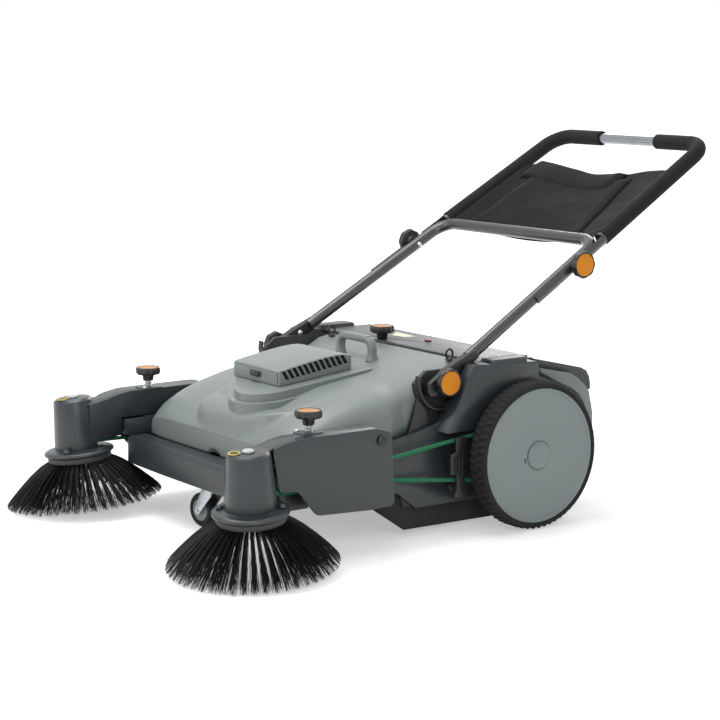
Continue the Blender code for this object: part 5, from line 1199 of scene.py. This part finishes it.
def make_lower_frame():
    legs = pipe(whole_u(HANDLE_X, 0.080, 0.045, 0.499), 0.0127, 28)
    feet = [flattened_foot(side) for side in (1, -1)]
    piece("leg_frame", legs, "lower_handle", TUBE, ("handle_frame",), smooth=50)
    piece("leg_feet", merged(*feet), "lower_handle", BLACK, slot="handle_frame", smooth=40)
    low_bolt = [(0, 0.0034), (0.004, 0.0030), (0.0064, 0.0010), (0.0066, 0.0), (0, 0.0)]
    high_bolt = [(0, 0.0036), (0.0035, 0.0032), (0.0058, 0.0010), (0.0060, 0.0), (0, 0.0)]
    bolts = []
    for side in (1, -1):
        low = handle_point(side * (HANDLE_X - 0.0094), 0.050)
        high = handle_point(side * (leg_x(HANDLE_X, 0.410) - 0.0124), 0.410)
        bolts += [button(low_bolt, low, (-side, 0, 0)), button(high_bolt, high, (-side, 0, 0))]
    piece("leg_bolts", merged(*bolts), "lower_handle", STEEL, slot="handle_frame", smooth=60)


def make_upper_frame():
    """The push tube, and a half sleeve that lies along each lower leg."""
    tube = pipe(whole_u(UPPER_X, 0.5095, 0.050, TOP_AT), 0.0115, 28)
    spots = (0.284, 0.350, 0.450, 0.512)
    sleeves = [pipe([handle_point(side * leg_x(UPPER_X, along), along) for along in spots], 0.0145, 36)
               for side in (1, -1)]
    inside = HANDLE_X + 0.0128 + 0.0003
    low, high = 0.25, 0.505
    near, far = leg_x(inside, low), leg_x(inside, high)
    room = plate([(-near, low), (near, low), (far, high), (-far, high)], "Z", -0.03, 0.03)
    room.transform(Matrix.Translation((0, *HANDLE_PIVOT)) @ Matrix.Rotation(SLOPE, 4, "X"))
    reach = leg_x(inside, FOLD_AT - 0.027)
    fold = [rod(handle_point(0, FOLD_AT), (side, 0, 0), 0.028, 0.2, reach, 48, 0) for side in (1, -1)]
    halves = carved(merged(*sleeves), room, *fold)
    piece("push_tube", merged(halves, tube), "push_handle", TUBE, ("upper_handle",), smooth=40)
    bare = pipe([handle_point(x, TOP_AT) for x in (-0.0915, -0.04, 0.04, 0.0915)], 0.01165, 36)
    piece("bare_top_tube", bare, "push_handle", BARE_TUBE, slot="upper_handle", smooth=60)


def make_grips():
    """Foam sleeves with rounded mouths."""
    path = u_path(UPPER_X, 0.5130, 0.050, TOP_AT, 20, 14)
    path += [handle_point(x, TOP_AT) for x in (0.17, 0.13, 0.100, 0.0912)]
    shape = round_edges(pipe(path, 0.0168, 28), 0.0035, 4, 60)
    both("grip_sleeve", shape, "push_handle", FOAM, ("foam_grip",), smooth=60)


# Tool bag

BAG_START = 0.514
BAG_TOP = ((-1.0, 0.7375), (-0.86, 0.7754), (-0.53, 0.7674), (-0.21, 0.7597), (0.05, 0.7488), (0.31, 0.7509),
           (0.47, 0.7629), (0.63, 0.7729), (0.80, 0.7775), (1.0, 0.7700))


def bag_end(across):
    """Where the bag's upper edge lies: it dips in the middle and rises to each grip."""
    return min(rounded_line(BAG_TOP, across, 0.08), 0.7745)


def bag_height(across, share):
    """The hanging cloth's height over the handle plane, with gathers near its lower edge."""
    sag = 0.034 * (1 - across ** 2) * (1 - 0.55 * share)
    room = eased((1 - abs(across)) / 0.12) * eased(share / 0.06) * eased((1 - share) / 0.04)
    fold = 0.0015 * math.sin(9.0 * across + 2.2 * math.sin(5 * share + across * 2)) * (0.4 + 0.6 * (1 - share))
    wave = 0.0022 * noise.noise((across * 2.6, share * 3.1, 0.4))
    wave += 0.0011 * noise.noise((across * 7.0, share * 8.0, 2.4))
    return -sag + (fold + wave) * room


def bag_sheet(low_across, high_across, low_share, high_share, lift, columns, rows, skew=0.0):
    """Part of the bag's cloth, with its flat size as UV in metres."""
    shape = bmesh.new()
    bmesh.ops.create_grid(shape, x_segments=columns, y_segments=rows, size=1.0)
    layer = shape.loops.layers.uv.new("cloth")
    for vert in shape.verts:
        u, v = (vert.co.x + 1) / 2, (vert.co.y + 1) / 2
        share = low_share + (high_share - low_share) * v
        across = low_across + (high_across - low_across) * u
        across += skew * (v - 0.5) * (1 - 2 * u) if skew else 0.0
        along = BAG_START + 0.0006 + (bag_end(across) - BAG_START) * share
        edge = min(min(u, 1 - u) / 0.06, 1.0) * min(min(v, 1 - v) / 0.07, 1.0)
        swell = lift * math.sqrt(max(edge, 0.0)) * (0.75 + 0.25 * math.sin(math.pi * v)) + (0.0013 if lift else 0.0)
        half = leg_x(UPPER_X, along) - 0.0196
        vert.co = handle_point(across * half, along, bag_height(across, share) + swell)
    for face in shape.faces:
        for loop in face.loops:
            loop[layer].uv = ((loop.vert.co.x + 0.3), (loop.vert.co - Vector((0, *HANDLE_PIVOT))).dot(ALONG))
    return shape


BAG_PARTS = {
    "bag_back": (-1.0, 1.0, 0.0, 1.0, 0.0, 110, 70),
    "bag_pocket": (-0.78, 0.62, 0.05, 0.90, 0.0085, 90, 70, 0.10),
    "bag_flap": (-0.88, 0.46, 0.74, 0.985, 0.0120, 90, 26),
}


def make_bag():
    """Back cloth, a pocket whose sides pull in at its mouth, and a flap over it."""
    for name, given in BAG_PARTS.items():
        shape = bag_sheet(*given)
        area = sum(face.calc_area() for face in shape.faces)
        stands_for = ("tool_bag",) if name == "bag_back" else ()
        cloth = piece(name, shape, "push_handle", CLOTH, stands_for, slot="tool_bag", smooth=60)
        thickened(cloth, "cloth", 0.0012, 1.0)


# Bin

def make_bin():
    copied("bin_tub", "dust_bin", "bin", GREY_GREEN)
    copied("bin_cover", "bin_lid", "bin", SLATE, 0.0016)


# Roller and caster

def make_roller():
    copied("roller_core", "brush_roller", "roller", BLACK, 0.0008)
    chance, rows, tufts, half = random.Random(11), 12, 150, 0.253
    shape = bmesh.new()
    layer = shape.faces.layers.float.new("strand")
    for row in range(rows):
        base = 2 * math.pi * row / rows - math.pi / 2
        for place in range(tufts):
            centre = Vector((-half + 2 * half * (place + 0.5) / tufts, ROLLER_Y, ROLLER_Z))
            for _ in range(2):
                turn = base + chance.gauss(0, 0.03)
                out = Vector((0, math.cos(turn), math.sin(turn)))
                aside = Vector((chance.gauss(0, 0.0015), 0, 0))
                lean = Vector((0, -math.sin(turn), math.cos(turn))) * chance.gauss(0, 0.003)
                tip = centre + out * (0.0893 + chance.uniform(-0.002, 0)) + aside + lean
                tip.z = max(tip.z, 0.0007)
                points = [centre + out * 0.0355, centre + out * 0.062 + aside * 0.4, tip]
                strand(shape, layer, points, ROLLER_STRAND, chance.random())
    mesh = baked("roller_strands", shape)
    settle("roller_strands", mesh, "roller", BRISTLE, ("roller_bristles",), smooth=80)


def make_caster():
    swivel = Matrix.Translation((0, -0.530, 0)) @ Matrix.Rotation(math.radians(-82.0), 4, "Z")
    place = swivel @ Matrix.Translation((0, -0.030, 0.035)) @ towards((1, 0, 0), (0, 0, 0))
    half = 0.012
    tread = softened(with_mirrored([(0.0223, half - 0.002), (0.031, half), (0.035, half - 0.005)]), 0.003, 4, ring=True)
    piece("caster_tread", turned(tread, place, 64, ring=True), "caster", RUBBER, ("caster_tyre",), smooth=50)
    face = [(0.0043, half - 0.0005), (0.009, half - 0.0005), (0.0105, half - 0.0030), (0.0185, half - 0.0030),
            (0.0205, half - 0.0010), (0.022, half - 0.0014)]
    hub = softened(with_mirrored(face), 0.0008, 2, ring=True)
    piece("caster_centre", turned(hub, place, 48, ring=True), "caster", WHEEL_GREY, ("caster_hub",), smooth=40)
    copied("caster_yoke", "caster_fork", "fork", ZINC, 0.0008)


# Floor, backdrop and light

def seen_directly(tree):
    """1 for a ray from the camera, or through or off a shiny piece. Otherwise 0."""
    rays = add(tree, "LightPath").outputs
    seen = math_of(tree, "MAXIMUM", rays["Is Camera Ray"], rays["Is Glossy Ray"])
    return math_of(tree, "MAXIMUM", seen, rays["Is Transmission Ray"])


def make_stage():
    """A pale floor that keeps the shadow, and a white world behind it."""
    floor = bmesh.new()
    bmesh.ops.create_grid(floor, x_segments=1, y_segments=1, size=14.0)
    mesh = mesh_of("floor", floor)
    ground = linked("floor", mesh)
    ground.location.z = -0.0005
    look, tree, shader = shader_of("pale_floor")
    for socket, value in (("Base Color", (0.86, 0.86, 0.86, 1)), ("Roughness", 0.9), ("Specular IOR Level", 0.1)):
        shader.inputs[socket].default_value = value
    far = add(tree, "VectorMath", {0: object_place(tree)}, operation="LENGTH").outputs["Value"]
    strength = times(tree, seen_directly(tree), ranged(tree, far, 0.9, 2.2, 0.42, 1.0))
    glow = add(tree, "Emission", {"Color": (1, 1, 1, 1), "Strength": strength})
    lit = add(tree, "AddShader", {0: shader.outputs[0], 1: glow.outputs[0]})
    tree.links.new(lit.outputs[0], tree.nodes["Material Output"].inputs["Surface"])
    mesh.materials.append(look)
    world = bpy.data.worlds.new("studio")
    bpy.context.scene.world = world
    world.use_nodes = True
    back = world.node_tree.nodes["Background"]
    strength = ranged(world.node_tree, seen_directly(world.node_tree), 0.0, 1.0, 0.40, 1.0)
    world.node_tree.links.new(strength, back.inputs["Strength"])
    back.inputs["Color"].default_value = (1, 1, 1, 1)


def make_light(name, place, target, size, power):
    lamp = bpy.data.lights.new(name, "AREA")
    lamp.shape = "RECTANGLE"
    lamp.size, lamp.size_y = size
    lamp.energy = power
    made = linked(name, lamp)
    made.location = Vector(place) + Vector((0, AXLE_Y, 0))
    aim = Vector(target) + Vector((0, AXLE_Y, 0)) - made.location
    made.rotation_euler = aim.to_track_quat("-Z", "Y").to_euler()


def make_lights():
    make_light("top_box", (-0.4, -0.6, 2.6), (0, -0.1, 0.2), (2.0, 1.6), 46)
    make_light("front_left_box", (-0.6, -3.2, 1.5), (0, -0.3, 0.2), (1.4, 1.0), 18)
    make_light("camera_side_box", (3.2, -1.6, 1.7), (0.1, 0, 0.2), (1.2, 1.0), 24)
    make_light("rear_box", (-1.6, 2.4, 1.8), (0, 0.2, 0.4), (1.6, 1.0), 34)


for make in (make_tyres, make_wheel_discs, make_hub_caps, make_axle, make_belts, make_belt_guides, make_broom_bristles,
             make_spindles, make_guards, make_arms, make_knobs, make_springs, make_chassis, make_bumper, make_hood,
             make_vent, make_carry_handle, make_pull_loops, make_lower_frame, make_upper_frame, make_grips, make_bag,
             make_bin, make_roller, make_caster, make_stage, make_lights):
    make()

bpy.context.scene.view_settings.view_transform = "Standard"
